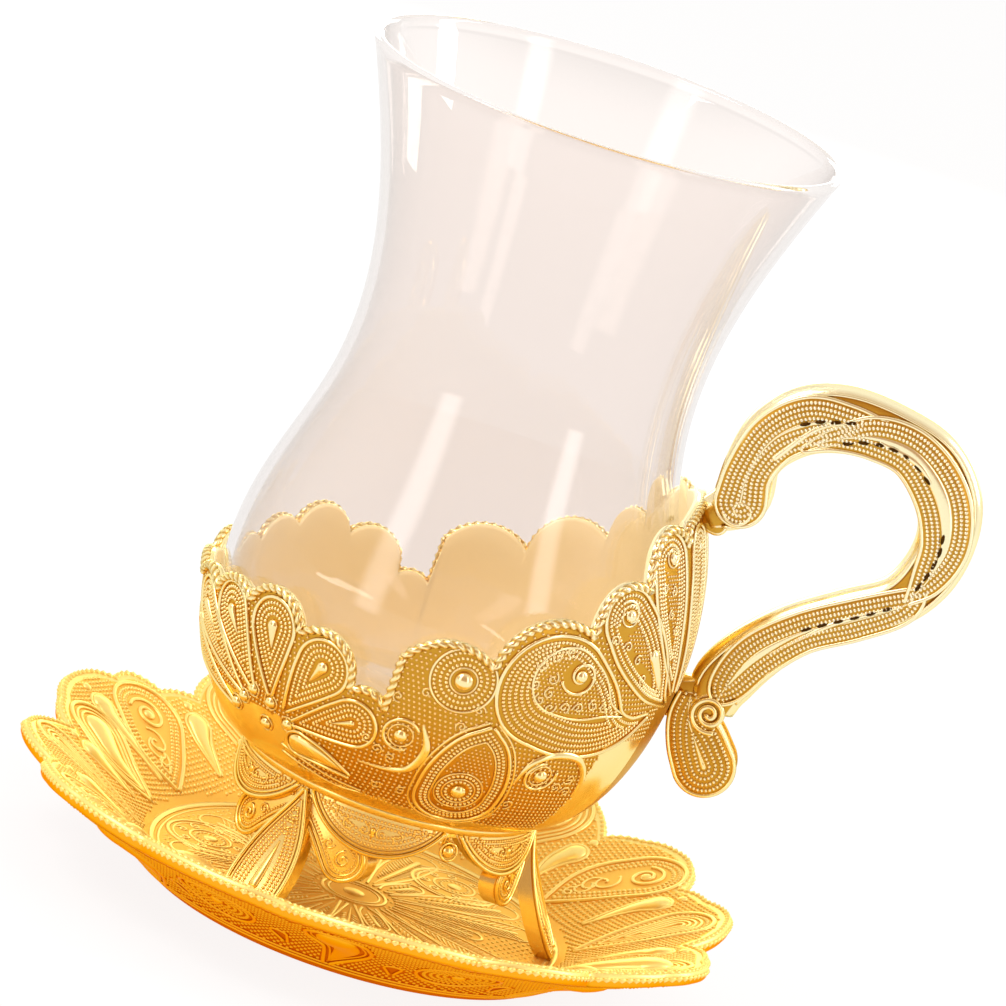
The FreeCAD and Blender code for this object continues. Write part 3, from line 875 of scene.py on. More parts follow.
egg = bowl_motif(71.3)
line = field(egg, (71.6, 12.6, 5.7), (71.4, 15.6, 5.7), (71.1, 18.8, 4.6), (70.7, 22.0, 2.2),
             (70.5, 24.4, 0.3))
egg.outline(line, -0.75, 0.2)
yolk = egg.spot(71.9, 13.4)
egg.grain_rows(line, 0.85, 0.62, 2)
egg.outline(line, 1.95, 0.18)
egg.fill(line, 2.5, avoid=[(yolk, 3.5)])
for radius in (1.7, 2.75):
    egg.ring(yolk, radius)
    egg.ring(yolk, radius + 0.5, False)
egg.boss(yolk, 1.1)

comma = bowl_motif(90.5)
eye = comma.eye(90.7, 19.8, 1.0, 1.7)
comma.comma((86.2, 22.2, 0.25), (83.9, 19.0, 0.65), (85.6, 15.6, 0.6), (90.0, 14.0, 0.4),
            (99.5, 13.4, 0.15), height=0.9)
comma.lay(wire(spiral(eye, 2.6, 2.2, 0.75, 30, 1), 0.28))
for angle, up, hand in ((96.5, 23.0, 1), (94.0, 25.3, -1), (88.0, 27.0, 1), (75.0, 26.6, 1),
                        (77.8, 23.6, -1), (95.5, 16.6, 1), (91.5, 15.9, -1), (98.5, 17.8, -1),
                        (86.3, 10.6, 1), (93.5, 10.4, -1)):
    comma.curl(comma.spot(angle, up), 0.85, 40 * up, hand)
print("the rosette is", 2 * ROSETTE_RIM, "mm wide")

# %% [markdown]
# ### Paisleys
#
# The largest motif is a paisley whose rows of grains crowd towards its lower side, which makes
# it look turned. `nested` shifts each row by a small step for that. The smaller ones climb
# towards the handle, and the last leaf stands upright in the tab that carries the handle.

# %% Large paisley
large = bowl_motif(54)
line = field(large, (59.0, 31.2, 8.1), (50.5, 28.6, 6.6), (41.5, 26.4, 3.9), (33.0, 26.4, 1.9),
             (25.0, 28.2, 0.3))
large.grain_rows(line, 0.95, 0.62, 6, (0.13, 0.20))
bed = large.line((57.0, 33.0, 5.0), (51.0, 31.6, 4.0), (43.0, 29.6, 1.3), (36.0, 28.6, 0.3))
large.outline(bed, 0.15, 0.2)
eye = large.spot(53.4, 34.0)
large.fill(bed, 0.5, avoid=[(eye, 2.6)])
large.boss(eye, 0.95)
large.curl(eye, 3.0, 200, 1, 1.75, 0.24)
large.curls(0.95, 25, ((64.0, 34.8, 1), (64.6, 32.0, 1), (62.2, 29.9, 1), (58.9, 29.0, -1),
                       (61.0, 36.2, 1), (60.6, 33.1, -1), (55.2, 29.3, 1), (51.2, 29.4, -1),
                       (47.2, 30.0, 1), (43.8, 29.9, -1), (57.8, 37.2, -1), (60.3, 31.0, 1)))
print("the large paisley is", round(2 * line[0][2], 1), "mm wide at its head")

# %% Small paisley and leaf lobe
small = bowl_motif(36)
line = field(small, (43.3, 42.3, 4.3), (37.6, 38.8, 4.5), (29.5, 34.4, 3.4), (22.0, 30.8, 1.3),
             (16.5, 29.2, 0.3))
small.grain_rows(line, 0.85, 0.62, 4, (-0.12, -0.16))
eye = small.eye(43.4, 42.9, 0.95, 1.5)
small.fill(line, 3.3, avoid=[(eye, 2.4)])
small.curl(eye, 2.35, 130, -1, 0.9, 0.24)
small.comma((31.5, 37.2, 1.0), (27.0, 34.0, 0.8), (22.5, 31.3, 0.2), height=0.7)
small.curls(0.85, 30, ((46.8, 39.4, 1), (42.0, 38.6, -1), (37.4, 36.7, 1), (33.4, 34.0, -1)))

lobe = bowl_motif(24)
line = field(lobe, (29.8, 50.0, 4.0), (27.6, 44.6, 3.8), (23.5, 38.3, 2.5), (17.8, 33.0, 0.9),
             (14.6, 30.6, 0.3))
lobe.grain_rows(line, 0.85, 0.62, 3, (-0.05, -0.16))
eye = lobe.eye(29.0, 50.6, 0.8, 1.3)
lobe.fill(line, 2.75, avoid=[(eye, 2.2)])
lobe.curl(eye, 2.1, 120, -1, 0.9, 0.22)
lobe.curls(0.8, 30, ((32.0, 46.6, 1), (27.6, 46.0, -1), (27.4, 42.8, 1), (23.8, 40.6, -1)))
# %% Tab leaf and lower comma
tab = bowl_motif(10)
line = field(tab, (11.0, 50.6, 3.5), (10.6, 44.0, 3.6), (9.6, 37.0, 2.4), (9.6, 30.4, 0.4))
tab.grain_rows(line, 0.8, 0.7, 4)
tab.boss(tab.spot(11.0, 51.2), 0.7)

lower = bowl_motif(50)
eye = lower.eye(52.8, 18.4, 1.0, 1.6)
lower.comma((59.0, 16.6, 0.2), (57.0, 20.2, 0.5), (51.5, 22.0, 0.6), (44.0, 21.6, 0.65),
            (38.8, 18.4, 0.55), (37.6, 14.6, 0.2), height=0.9)
lower.lay(wire(spiral(eye, 2.5, 2.1, 0.8, 20, -1), 0.26))
lower.curls(1.0, 30, ((43.0, 18.2, 1), (41.6, 15.8, -1), (46.2, 16.6, 1), (57.0, 12.6, 1),
                      (60.5, 10.0, -1)))
print("motifs drawn on each half:", len(motif_fields))

# %% [markdown]
# ### Ground and rim
#
# What the motifs leave free is granulated ground, apart from polished patches under the motifs.
# Grains are set out in rows and those inside a motif or past the edge are dropped. Scattering
# them by a modifier would be quicker, but even rows are what a caster's model has. A twisted
# rope runs along the rim, lobe by lobe, so it dips into every notch.

# %% Granulated ground and rim rope


def free_on_bowl(places):
    """True for (angle, up) places under the edge, off the polished parts and off the motifs."""
    edge = bowl_face.up_to(BOWL_BOTTOM + np.array([bowl_edge(angle) for angle in places[:, 0]]))
    free = places[:, 1] < edge - 1.3
    free &= ~polished(*places.T)
    for angle, outline in motif_fields:
        free &= ~inside(bowl_face.flat(angle, places), outline)
    return free


def lay_ground(angles, heights, step):
    """Grains in staggered rows over the bowl, wherever a place is free."""
    for k, up in enumerate(np.arange(*heights, step)):
        turn = math.degrees(step / bowl_face.at(up)[0])
        around = np.arange(angles[0] + (k % 2) * turn / 2, angles[1], turn)
        places = np.column_stack([around, np.full(len(around), up)])
        for angle, height in places[free_on_bowl(places)]:
            bowl_motif(angle).lay(domes([[0.0, height]], 0.24, 0.24, sides=5), True)


lay_ground((20.5, 179.6), (7.2, 40.0), 0.72)


def rim_rope(start, end):
    """The twisted rope along one lobe of the edge."""
    middle = (start + end) / 2
    angles = np.linspace(start, end, max(int((end - start) * 1.5), 6))
    up = bowl_face.up_to(np.array([bowl_edge(a) for a in angles]) + BOWL_BOTTOM) - 0.35
    path = bowl_face.flat(middle, np.column_stack([angles, up]))
    bowl_wires.lay(rope(smooth(path, 0.3), 0.55, 1.25), bowl_face.chart(middle))


for start, peak, end, *heights in ALL_LOBES:
    rim_rope(start, end)

bowl_ornament = [bowl_wires.make("bowl_wires")]
for side, name in ((1, "bowl_grains_front"), (-1, "bowl_grains_back")):
    bowl_ornament.append(bowl_grains[side].make(name))
for piece in bowl_ornament:
    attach(piece, "root")

# %% [markdown]
# ## The saucer
#
# The saucer is cast and plated like the holder, but with a softer, satin finish. Its floor is
# flat for the feet, and its side springs from a bend and runs out into leaves and lobes. The
# lobed edge is a list of corners seen from above, and the dish is a turned profile that is cut
# off where it meets that edge. Sculpting the lobes would be quicker, but not to a tenth of a mm.

# %% Saucer edge and profile
FLOOR_RADIUS = 29.2
BASE_RADIUS = 30.1
SAUCER_SHEET = 1.9
EDGE_BULGE = 0.10  # of a span's length
# The side springs from the floor, bends at a knee and ends past the edge.
SPRING_HEIGHT, KNEE_HEIGHT = 3.3, 11.2
SAUCER_END = np.array([1.15 * SAUCER_RADIUS, 17.0])
# Corners of the saucer's edge: angle from the handle and share of the saucer's radius.
SAUCER_EDGE = (
    (-8.6, 0.894), (6.0, 0.983), (14.7, 0.944),
    (21.8, 0.900), (28.4, 0.970), (34.5, 0.983), (40.5, 0.940),
    (46.1, 0.870), (60.0, 1.000),
    (73.0, 0.880), (91.0, 0.980),
    (108.0, 0.880), (122.5, 1.005),
    (130.6, 0.885), (138.6, 0.905), (143.0, 0.970), (147.2, 0.955), (154.0, 0.988), (166.0, 0.935),
    (174.5, 0.859), (188.4, 0.971),
    (200.9, 0.909), (211.9, 0.988), (222.0, 0.990),
    (235.0, 0.955), (252.0, 1.010),
    (262.0, 0.965), (278.2, 1.045),
    (291.0, 0.985), (299.7, 1.040),
    (311.0, 0.975), (323.8, 1.025), (330.3, 1.044), (338.0, 1.000),
)


def saucer_outline(step=0.4):
    """The lobed edge seen from above: a bowed span between each two corners."""
    turn = np.radians([angle for angle, share in SAUCER_EDGE])
    reach = SAUCER_RADIUS * np.array([share for angle, share in SAUCER_EDGE])
    corners = np.stack([reach * np.cos(turn), reach * np.sin(turn)], 1)
    path = []
    for start, end in zip(corners, np.roll(corners, -1, axis=0)):
        chord = end - start
        bow = np.array([chord[1], -chord[0]]) * EDGE_BULGE
        t = np.linspace(0, 1, max(int(np.linalg.norm(chord) / step), 4), endpoint=False)[:, None]
        path.append(start + t * chord + 4 * t * (1 - t) * bow)
    return np.vstack(path)


SAUCER_OUTLINE = saucer_outline()


def saucer_reach(angle):
    """Distance from the middle to the saucer's edge at an angle in degrees."""
    turn = np.degrees(np.arctan2(SAUCER_OUTLINE[:, 1], SAUCER_OUTLINE[:, 0])) % 360
    order = np.argsort(turn)
    far = np.linalg.norm(SAUCER_OUTLINE, axis=1)[order]
    return np.interp(np.asarray(angle) % 360, turn[order], far, period=360)


def saucer_side(start, first, second, sheet):
    """The side of the dish from the end of a flat to past the edge."""
    width = SAUCER_END[0] - start[0]
    return bezier(start, (start[0] + first * width, start[1] + SPRING_HEIGHT),
                  (start[0] + second * width, KNEE_HEIGHT - sheet), SAUCER_END - [0, sheet], 60)


dish_side = saucer_side((FLOOR_RADIUS, SAUCER_FLOOR), 0.14, 0.42, 0)
under_side = saucer_side((BASE_RADIUS, 0.0), 0.145, 0.434, SAUCER_SHEET)
reaches = saucer_reach(np.arange(360))
print(f"saucer edge from {reaches.min():.1f} to {reaches.max():.1f} mm")

# %% [markdown]
# ### The saucer's body
#
# Like the bowl, the saucer is one closed shell in columns round the axis: its underside, a
# rounded edge and the dish. Its columns all have equally many rows, which only stretch to
# reach a far lobe, so the faces stay regular. The underside and the edge get a gold of their
# own, a deeper orange that is painted warm reflection.

# %% Saucer body


def saucer_body():
    """The saucer's shell, from the middle of its underside round the edge to the dish."""
    angles = column_angles(COLUMNS, [angle for angle, share in SAUCER_EDGE])
    reach = saucer_reach(angles) - 0.3
    share = np.linspace(0, 1, 30)[:, None]

    def face(start, side):
        radius = start + share * (reach - start)
        return radius, np.interp(radius, side[:, 0], side[:, 1])

    flat_in = np.array([[3.0], [16.0]]) + 0 * reach
    flat_out = flat_in[::-1]
    radius_top, height_top = face(FLOOR_RADIUS, dish_side)
    radius_low, height_low = face(BASE_RADIUS, under_side)
    turn = np.linspace(0, math.pi, 7)[1:-1, None]
    middle, half = (height_top[-1] + height_low[-1]) / 2, (height_top[-1] - height_low[-1]) / 2
    radius_edge, height_edge = reach + 0.6 * np.sin(turn), middle - half * np.cos(turn)
    radius = np.vstack([flat_in, radius_low, radius_edge, radius_top[::-1], flat_out])
    height = np.vstack([0 * flat_in, height_low, height_edge, height_top[::-1],
                        0 * flat_out + SAUCER_FLOOR])
    points, faces = turned_mesh(radius, height, np.radians(angles), 0, SAUCER_FLOOR)
    # The dish and the underside count as ground, which the finish paints with shade. The edge counts as
    # raised.
    heights = np.zeros(radius.shape)
    heights[len(flat_in) + len(radius_low) - 2:-len(flat_out) - len(radius_top) + 2] = UNSHADED
    body = Relief()
    body.add(points, faces, heights=np.append(heights.ravel(), [0.0, 0.0]))
    piece = body.make("saucer_body")
    # The underside and the side of the edge have their own finish, the second material.
    second = np.zeros(len(piece.data.polygons), np.int32)
    second[:(len(flat_in) + len(radius_low) + 3) * COLUMNS] = 1
    second[-2 * COLUMNS:-COLUMNS] = 1
    piece.data.polygons.foreach_set("material_index", second)
    return piece


saucer = saucer_body()
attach(saucer, "root")
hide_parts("saucer")

# %% [markdown]
# ## Leaves on the saucer
#
# The saucer is seen from above, so its ornament is drawn in plan and dropped on the dish, as a
# die would press it. A projected texture would be the usual short cut; real relief catches
# the light and shows in the outline of the edge. Each drawing also claims the ground under
# it, and whatever isn't claimed in the end is filled with grains.

# %% Drawing in plan


def turned_plan(across, out, angle):
    """Turns an (across, out) drawing round the axis to its angle, as x and y."""
    cos, sin = math.cos(math.radians(angle)), math.sin(math.radians(angle))
    return out * cos - across * sin, out * sin + across * cos


def plan_chart(upper, relief=1.0, angle=0.0):
    """Places (across, out) drawings, turned to an angle, on the dish or on its underside. The
    off of each drawing is scaled by relief."""
    side = dish_side if upper else under_side
    radius = np.concatenate([[0.0], side[:, 0]])
    height = np.concatenate([[side[0, 1]], side[:, 1]])
    slope = np.gradient(height, radius)

    def to_space(flat):
        across, out, off = flat.T
        off = relief * off
        x, y = turned_plan(across, out, angle)
        reach = np.maximum(np.hypot(x, y), 0.01)
        lean = np.interp(reach, radius, slope)
        size = np.sqrt(1 + lean ** 2) * (1 if upper else -1)
        return np.stack([x - off * lean * x / reach / size, y - off * lean * y / reach / size,
                         np.interp(reach, radius, height) + off / size], 1)
    return to_space


class Plan:
    """Strokes on the saucer, drawn round one angle, with the outlines that they fill."""

    def __init__(self, upper, relief):
        self.upper, self.relief = upper, relief
        self.wires, self.grains_of, self.fields = Relief(), Relief(), []

    def lay(self, angle, stroke, grain=False):
        relief = self.grains_of if grain else self.wires
        relief.lay(stroke, plan_chart(self.upper, self.relief, angle))

    def rings(self, angle, centre, rings, step=0.35):
        """Round wires about one centre, as (radius, thickness) pairs."""
        for radius, thick in rings:
            self.lay(angle, wire(circle(centre, radius, step), thick, closed=True))

    def claim(self, angle, outline):
        """Keeps an outline, turned to its place, so that the ground's grains stay outside it."""
        self.fields.append(np.stack(turned_plan(*outline.T, angle), 1))

    def leaf(self, angle, line, inset=0.0, radius=0.3):
        outline = leaf(line, inset)
        if outline is not None:
            self.lay(angle, wire(outline, radius))
            if inset == 0:
                self.claim(angle, leaf(line, -0.4))

    def ground(self, low, high, step, radius, margin):
        """Staggered grains between two distances from the middle, outside all claimed fields."""
        places = staggered((-high, -high), (high, high), step)
        reach = np.hypot(*places.T)
        edge = saucer_reach(np.degrees(np.arctan2(places[:, 1], places[:, 0])))
        keep = (reach > low) & (reach < high) & (reach < edge - margin)
        places = places[keep]
        for outline in self.fields:
            places = places[~inside(places, outline)]
        places = np.stack([places[:, 1], places[:, 0]], 1)
        self.lay(0, domes(places, radius, 1.1 * radius, sides=5), True)


top_plan, floor_plan, under_plan = Plan(True, 0.7), Plan(True, 0.45), Plan(False, 0.7)
print("the dish rises to", round(float(dish_side[-1, 1]), 1), "mm where its profile runs out")

# %% [markdown]
# ### Three kinds of leaf
#
# Each lobe of the edge ends a leaf, and three kinds take turns: one with a large polished
# comma, one with a rolled scroll, and a feather of nested wires. They share one line that
# runs from the edge to the floor's border, so only what fills them differs. A real caster
# models one leaf of each kind and bends copies of it, and the loop below does just that.

# %% Three kinds of leaf
def saucer_line(angle, width, bend, tilt, low=31.5):
    """A leaf's line from its round end near the edge to its root on the floor's border."""
    far = float(saucer_reach(angle)) - 1.9 - width
    return [(tilt, far, width), (0.6 * tilt + bend, 0.55 * far + 0.45 * low, 0.78 * width),
            (-tilt + 0.4 * bend, low, 0.35)]


def comma_leaf(angle, line, width):
    """Two wires inside the outline, round one large polished comma."""
    for inset in (0.9, 1.7):
        top_plan.leaf(angle, line, inset, 0.24)
    top_plan.lay(angle, drop(thinner(line, 2.3), 0.55, 14))


def scroll_leaf(angle, line, width):
    """Two rows of grains, a rolled scroll in the round end, and curls towards the root."""
    for stroke in nested(line, 0.95, 0.8, 2, radius=0.33, pitch=0.66):
        top_plan.lay(angle, stroke, True)
    head = np.array(line[0][:2])
    top_plan.lay(angle, wire(spiral(head, width - 2.6, 0.5, 1.7, 40, 1), 0.3))
    top_plan.lay(angle, dome(head, 0.8))
    middle = smooth(line, 0.3)
    for share, hand in ((0.38, 1), (0.50, -1), (0.62, 1), (0.73, -1)):
        x, out, radius = middle[int(share * len(middle))]
        top_plan.lay(angle, wire(spiral((x, out), 0.5 * radius, 0.15, 1.2, 90, hand), 0.22))


def feather_leaf(angle, line, width):
    """A row of grains, then wires one inside the other down to the middle."""
    for stroke in nested(line, 0.9, 0.8, 1, radius=0.33, pitch=0.66):
        top_plan.lay(angle, stroke, True)
    for inset in np.arange(1.6, width - 0.4, 0.75):
        top_plan.leaf(angle, line, inset, 0.24)


# Leaves all the way round: angle, kind, half width, bend and tilt of the line in mm.
SAUCER_LEAVES = (
    (3, feather_leaf, 4.6, -1.5, 1.2), (31, scroll_leaf, 5.4, 2.0, -1.5),
    (60, comma_leaf, 6.2, 2.5, -1.0), (90, scroll_leaf, 5.6, -2.0, 1.5),
    (120, comma_leaf, 5.8, -2.0, 1.0), (148, scroll_leaf, 5.6, 2.2, -1.5),
    (166, comma_leaf, 4.6, 2.4, -0.5), (188, feather_leaf, 3.8, 2.0, -1.2),
    (213, scroll_leaf, 5.4, -2.0, 1.0), (244, comma_leaf, 6.0, 2.0, -1.5),
    (275, feather_leaf, 5.6, -1.8, 1.0), (301, scroll_leaf, 5.2, 2.0, -1.0),
    (329, comma_leaf, 5.8, -2.2, 1.2),
)
for angle, kind, width, bend, tilt in SAUCER_LEAVES:
    line = saucer_line(angle, width, bend, tilt)
    top_plan.leaf(angle, line, 0, 0.36)
    kind(angle, line, width)
for start, end in zip(SAUCER_LEAVES, SAUCER_LEAVES[1:] + SAUCER_LEAVES[:1]):
    between = (start[0] + ((end[0] - start[0]) % 360) / 2) % 360
    far = float(saucer_reach(between))
    line = [(0.0, far - 6.2, 2.0), (0.5, far - 9.0, 1.3), (0.0, 33.0, 0.2)]
    top_plan.leaf(between, line, 0, 0.28)
    top_plan.lay(between, drop(np.array(line) - [0, 0, 0.15], 0.6))
    top_plan.lay(between, dome((0.0, far - 2.9), 0.75))
top_plan.ground(30.6, 55.0, 0.82, 0.3, 1.7)
print("leaves on the saucer:", len(SAUCER_LEAVES))

# %% [markdown]
# ### The floor's medallion
#
# The flat floor has a lower relief than the leaves, so that the feet stand steady on it. Two
# wires border it, three rosettes stand between palm leaves, and grains fill the rest. Little
# of it shows under the holder, but light from it brightens the stand, so it is modelled whole.

# %% Medallion on the floor
floor_plan.rings(0, (0, 0), ((29.2, 0.42), (28.2, 0.22)), 0.8)
floor_plan.rings(0, (0, 0), ((4.6, 0.3), (3.7, 0.2)))
floor_plan.lay(0, dome((0.0, 0.0), 1.6, 0.7))
floor_plan.claim(0, circle((0, 0), 5.0))
CARTOUCHES = (52, 172, 292)
for angle in CARTOUCHES:
    centre = np.array([0.0, 21.4])
    floor_plan.rings(angle, centre, ((6.2, 0.34), (5.4, 0.2), (3.0, 0.26)))
    floor_plan.claim(angle, circle(centre, 6.6))
    floor_plan.lay(angle, dome(centre, 1.1, 0.7))
    floor_plan.lay(angle, grains(circle(centre, 2.1), 0.3, 0.66, closed=True), True)
    for k in range(8):
        turn = math.radians(45 * k)
        place = centre + 4.2 * np.array([math.cos(turn), math.sin(turn)])
        floor_plan.lay(angle, wire(spiral(place, 0.9, 0.15, 1.3, 45 * k, (-1) ** k), 0.22))


def palm(angle, far, half):
    """A palm leaf on the floor: a rib, an outline, and barbs that lean outwards."""
    floor_plan.leaf(angle, [(0, far - half, half), (0, 0.6 * far, 0.9 * half), (0, 6.0, 0.5)], 0, 0.26)
    floor_plan.lay(angle, drop([(0, far - half, 0.45), (0, 7.0, 0.15)], 0.8))
    for out in np.arange(7.5, far - half, 0.9):
        reach = np.interp(out, [6.0, 0.6 * far, far - half], [0.4, 0.85 * half, 0.9 * half]) - 0.3
        for hand in (1, -1):
            barb = [(hand * 0.5, out), (hand * reach, out + 0.8 * reach)]
            if reach > 0.9:
                floor_plan.lay(angle, wire(even(barb, 0.8), 0.2, sides=5))


for middle in range(22, 360, 60):
    for angle in (middle - 10, middle + 10):
        palm(angle, 26.5, 2.9)
for angle in (112, 232, 352, *CARTOUCHES):
    palm(angle, 14.0 if angle in CARTOUCHES else 19.0, 1.7)
floor_plan.ground(5.0, 27.6, 1.2, 0.3, 0.0)
print("fields claimed on the floor:", len(floor_plan.fields))

# %% [markdown]
# ### The underside
#
# A cast saucer is ornamented below too, and its raised edge shows a little of it. Teardrops
# and rosettes take turns round the axis at equal steps, so one loop with an odd and an even
# case makes them all. Outside them lie the same grains as on the dish.

# %% Underside
UNDER_STEP = 24  # degrees
for k in range(360 // UNDER_STEP):
    angle = 6 + UNDER_STEP * k
    far = float(saucer_reach(angle))
    if k % 2:
        line = [(0.0, far - 7.6, 4.4), (1.5, far - 12.0, 3.2), (-0.5, 33.0, 0.5)]
        under_plan.leaf(angle, line, 0, 0.34)
        under_plan.leaf(angle, line, 0.8, 0.2)
        under_plan.lay(angle, drop(thinner(line, 1.4), 0.4, 14))
    else:
        centre = np.array([0.0, 41.5])
        under_plan.claim(angle, circle(centre, 6.0))
        under_plan.rings(angle, centre, ((5.6, 0.3),))
        under_plan.lay(angle, dome(centre, 1.0, 0.7))
        for radius in (1.9, 2.8, 3.7, 4.6):
            under_plan.lay(angle, grains(circle(centre, radius), 0.32, 0.7, closed=True), True)
    under_plan.leaf(angle, [(8.2, 37.5, 1.2), (8.2, 34.5, 0.3)], 0, 0.26)
under_plan.rings(0, (0, 0), ((31.8, 0.25), (32.7, 0.25)), 0.8)
under_plan.ground(33.2, 55.0, 0.95, 0.33, 1.5)
print("motifs on the underside:", 360 // UNDER_STEP)

# %% [markdown]
# ### The granulated edge
#
# Two strings of grains run round the saucer, one on the rim and one on the side of the edge.
# Cast grains melt into each other, so a wire whose thickness swells and narrows looks truer
# than separate balls, and it needs a quarter of their faces.

# %% Granulated edge
edge_relief = Relief()


def edge_chart(flat):
    """Places a drawing of the plan along the saucer's edge, where off is up."""
    x, y, off = flat.T
    reach = np.hypot(x, y)
    height = np.interp(reach, dish_side[:, 0], dish_side[:, 1])
    return np.stack([x, y, height - 0.15 + off], 1)


BEAD_PITCH = 1.1
# Each string: how far inside the edge it lies, how far above it, and how thick it is.
for inset, lift, thick in ((0.55, 0.0, 0.48), (-0.05, -0.85, 0.45)):
    around = np.linalg.norm(SAUCER_OUTLINE, axis=1)[:, None]
    path = even(SAUCER_OUTLINE * (1 - inset / around), BEAD_PITCH / 4, True)
    bead = np.cos(np.arange(len(path)) * math.pi / 2)
    points, faces = wire(path, thick * (0.80 + 0.25 * bead), lift, True, 6)
    # Its heights are low where the string narrows, so the finish paints shade between the beads.
    edge_relief.lay((points, faces, np.repeat(ROPE_HEIGHT * (1 + bead), 6)), edge_chart)
saucer_ornament = [edge_relief.make("saucer_edge")]
for plan, name in ((top_plan, "saucer_leaves"), (floor_plan, "saucer_floor")):
    saucer_ornament += [plan.wires.make(name + "_wires"), plan.grains_of.make(name + "_grains")]
underside = [under_plan.wires.make("saucer_under_wires"),
             under_plan.grains_of.make("saucer_under_grains")]
for piece in saucer_ornament + underside:
    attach(piece, "root")

# %% [markdown]
# ## The handle
#
# The handle is one casting: a bent grip with bevelled sides, a rolled scroll and a hanging
# leaf. A section is carried along the grip's middle line here, because its width keeps
# changing and a curve object has only round or mirrored bevels. The ornament of three
# overlapping leaves then goes on both flat faces.

# %% Grip body
HANDLE_HALF = 2.45  # half of its thickness
HANDLE_REACH = 31.65
HANDLE_RISE = 48.8
HANDLE_WIDTH = 8.0
SCROLL = np.array([BOWL_RADIUS + 5.0, BOWL_WIDEST - 5.9])
ROOT = np.array([BOWL_RADIUS - 3.7, TAB_TOP - 2.0])
# Middle line of the grip from the tab to the scroll: shares of the reach and of the rise, and
# the width as a share of HANDLE_WIDTH.
GRIP = (
    (0.000, 0.605, 0.94), (0.000, 0.719, 0.93), (0.054, 0.809, 1.10), (0.167, 0.880, 1.20),
    (0.332, 0.914, 1.18), (0.537, 0.914, 1.06), (0.724, 0.872, 1.13), (0.845, 0.780, 1.14),
    (0.887, 0.676, 1.04), (0.859, 0.561, 0.98), (0.765, 0.463, 0.89), (0.578, 0.382, 0.89),
    (0.385, 0.291, 0.92), (0.256, 0.191, 1.03), (0.172, 0.090, 1.06), (0.155, 0.010, 0.85),
)
# Half of the grip's section: place across as an inset from its side, and place through it as a
# share of the half thickness. The side is upright, then a bevel leads to the flat face.
SECTION = ((0.0, 0.0), (0.05, 0.30), (0.25, 0.52), (0.75, 0.78), (1.30, 0.93), (2.00, 1.0), (3.0, 1.0))


def grip_line():
    """Rows of x, z and half width along the grip."""
    places = [(*ROOT, 0.59 * HANDLE_WIDTH / 2)]
    for out, up, width in GRIP:
        places.append((BOWL_RADIUS + out * HANDLE_REACH, SCROLL[1] + up * HANDLE_RISE,
                       width * HANDLE_WIDTH / 2))
    return smooth(places, 0.8)


def tube_of_sections(rings):
    """A closed mesh from equal rings of points, with a fan over each end."""
    rings = np.asarray(rings, float)
    count, sides = rings.shape[:2]
    points = np.vstack([rings.reshape(-1, 3), rings[0].mean(axis=0), rings[-1].mean(axis=0)])
    first, ring = count * sides, np.arange(sides)
    last = (count - 1) * sides + ring
    fans = [np.stack([np.full(sides, first), np.roll(ring, -1), ring], 1),
            np.stack([np.full(sides, first + 1), last, np.roll(last, -1)], 1)]
    return points, [lattice(count, sides, False, True), *fans]


def grip_body():
    """The bevelled section carried along the grip. Its flat faces are marked as ground, which
    the finish paints with shade.
    """
    line = grip_line()
    side = sideways(line[:, :2], False)
    quarter_turn = [(1, inset, through) for inset, through in SECTION]
    front = quarter_turn + [(-1, inset, through) for sign, inset, through in quarter_turn[::-1]]
    section = front + [(sign, inset, -through) for sign, inset, through in front[-2:0:-1]]
    rings = []
    for (x, z, half), (sx, sz) in zip(line, side):
        reach = [sign * max(half - inset, 0.2) for sign, inset, through in section]
        rings.append([(x + r * sx, -through * HANDLE_HALF, z + r * sz)
                      for r, (sign, inset, through) in zip(reach, section)])
    flats = [0.0 if inset >= 1.3 else UNSHADED for sign, inset, through in section]
    return *tube_of_sections(rings), np.array(flats * len(rings) + [UNSHADED, UNSHADED])


def slab(line, half, bevel=0.5, count=90):
    """A leaf cut from plate, standing upright in the handle's plane, with rounded edges."""
    rings = []
    for inset, through in ((bevel, -half), (0.3 * bevel, -half + 0.3 * bevel), (0.0, -half + bevel),
                           (0.0, half - bevel), (0.3 * bevel, half - 0.3 * bevel), (bevel, half)):
        outline = leaf(line, inset, 0.1)
        at, known = np.linspace(0, 1, count, endpoint=False), np.linspace(0, 1, len(outline))
        flat = np.stack([np.interp(at, known, column) for column in outline.T], 1)
        rings.append(np.stack([flat[:, 0], np.full(count, -through), flat[:, 1]], 1))
    # The two flat faces count as ground, which the finish paints with shade.
    heights = np.repeat([0.0, UNSHADED, UNSHADED, UNSHADED, UNSHADED, 0.0], count)
    return *tube_of_sections(rings), np.append(heights, [0.0, 0.0])


def line_from(origin, *places):
    """A leaf's line from (out, up, radius) places, counted from an origin."""
    return [(origin[0] + out, origin[1] + up, radius) for out, up, radius in places]


DROP_LEAF = line_from(SCROLL, (1.6, -7.4, 4.25), (-0.4, -4.6, 3.9), (-2.4, -1.6, 2.8), (-3.2, 1.6, 1.6))
SCROLL_DISC = line_from(SCROLL, (0.0, 0.0, 3.0), (0.3, 0.0, 2.9), (0.6, 0.0, 2.8))
ROOT_BLOCK = line_from(ROOT, (1.6, -0.4, 1.6), (0.4, -0.2, 1.6), (-1.2, 0.0, 1.5))
NECK = line_from(SCROLL, (-2.2, 1.0, 3.2), (-4.0, 0.6, 3.0), (-5.6, 0.4, 2.8))
handle_parts = Relief()
for points, faces, heights in (grip_body(), slab(DROP_LEAF, 2.0), slab(SCROLL_DISC, 2.6),
                               slab(ROOT_BLOCK, 2.0), slab(NECK, 1.8)):
    handle_parts.add(points, faces, heights=heights)
handle = handle_parts.make("handle_body")
print("handle from", np.round(handle_low, 1), "to", np.round(handle_high, 1))
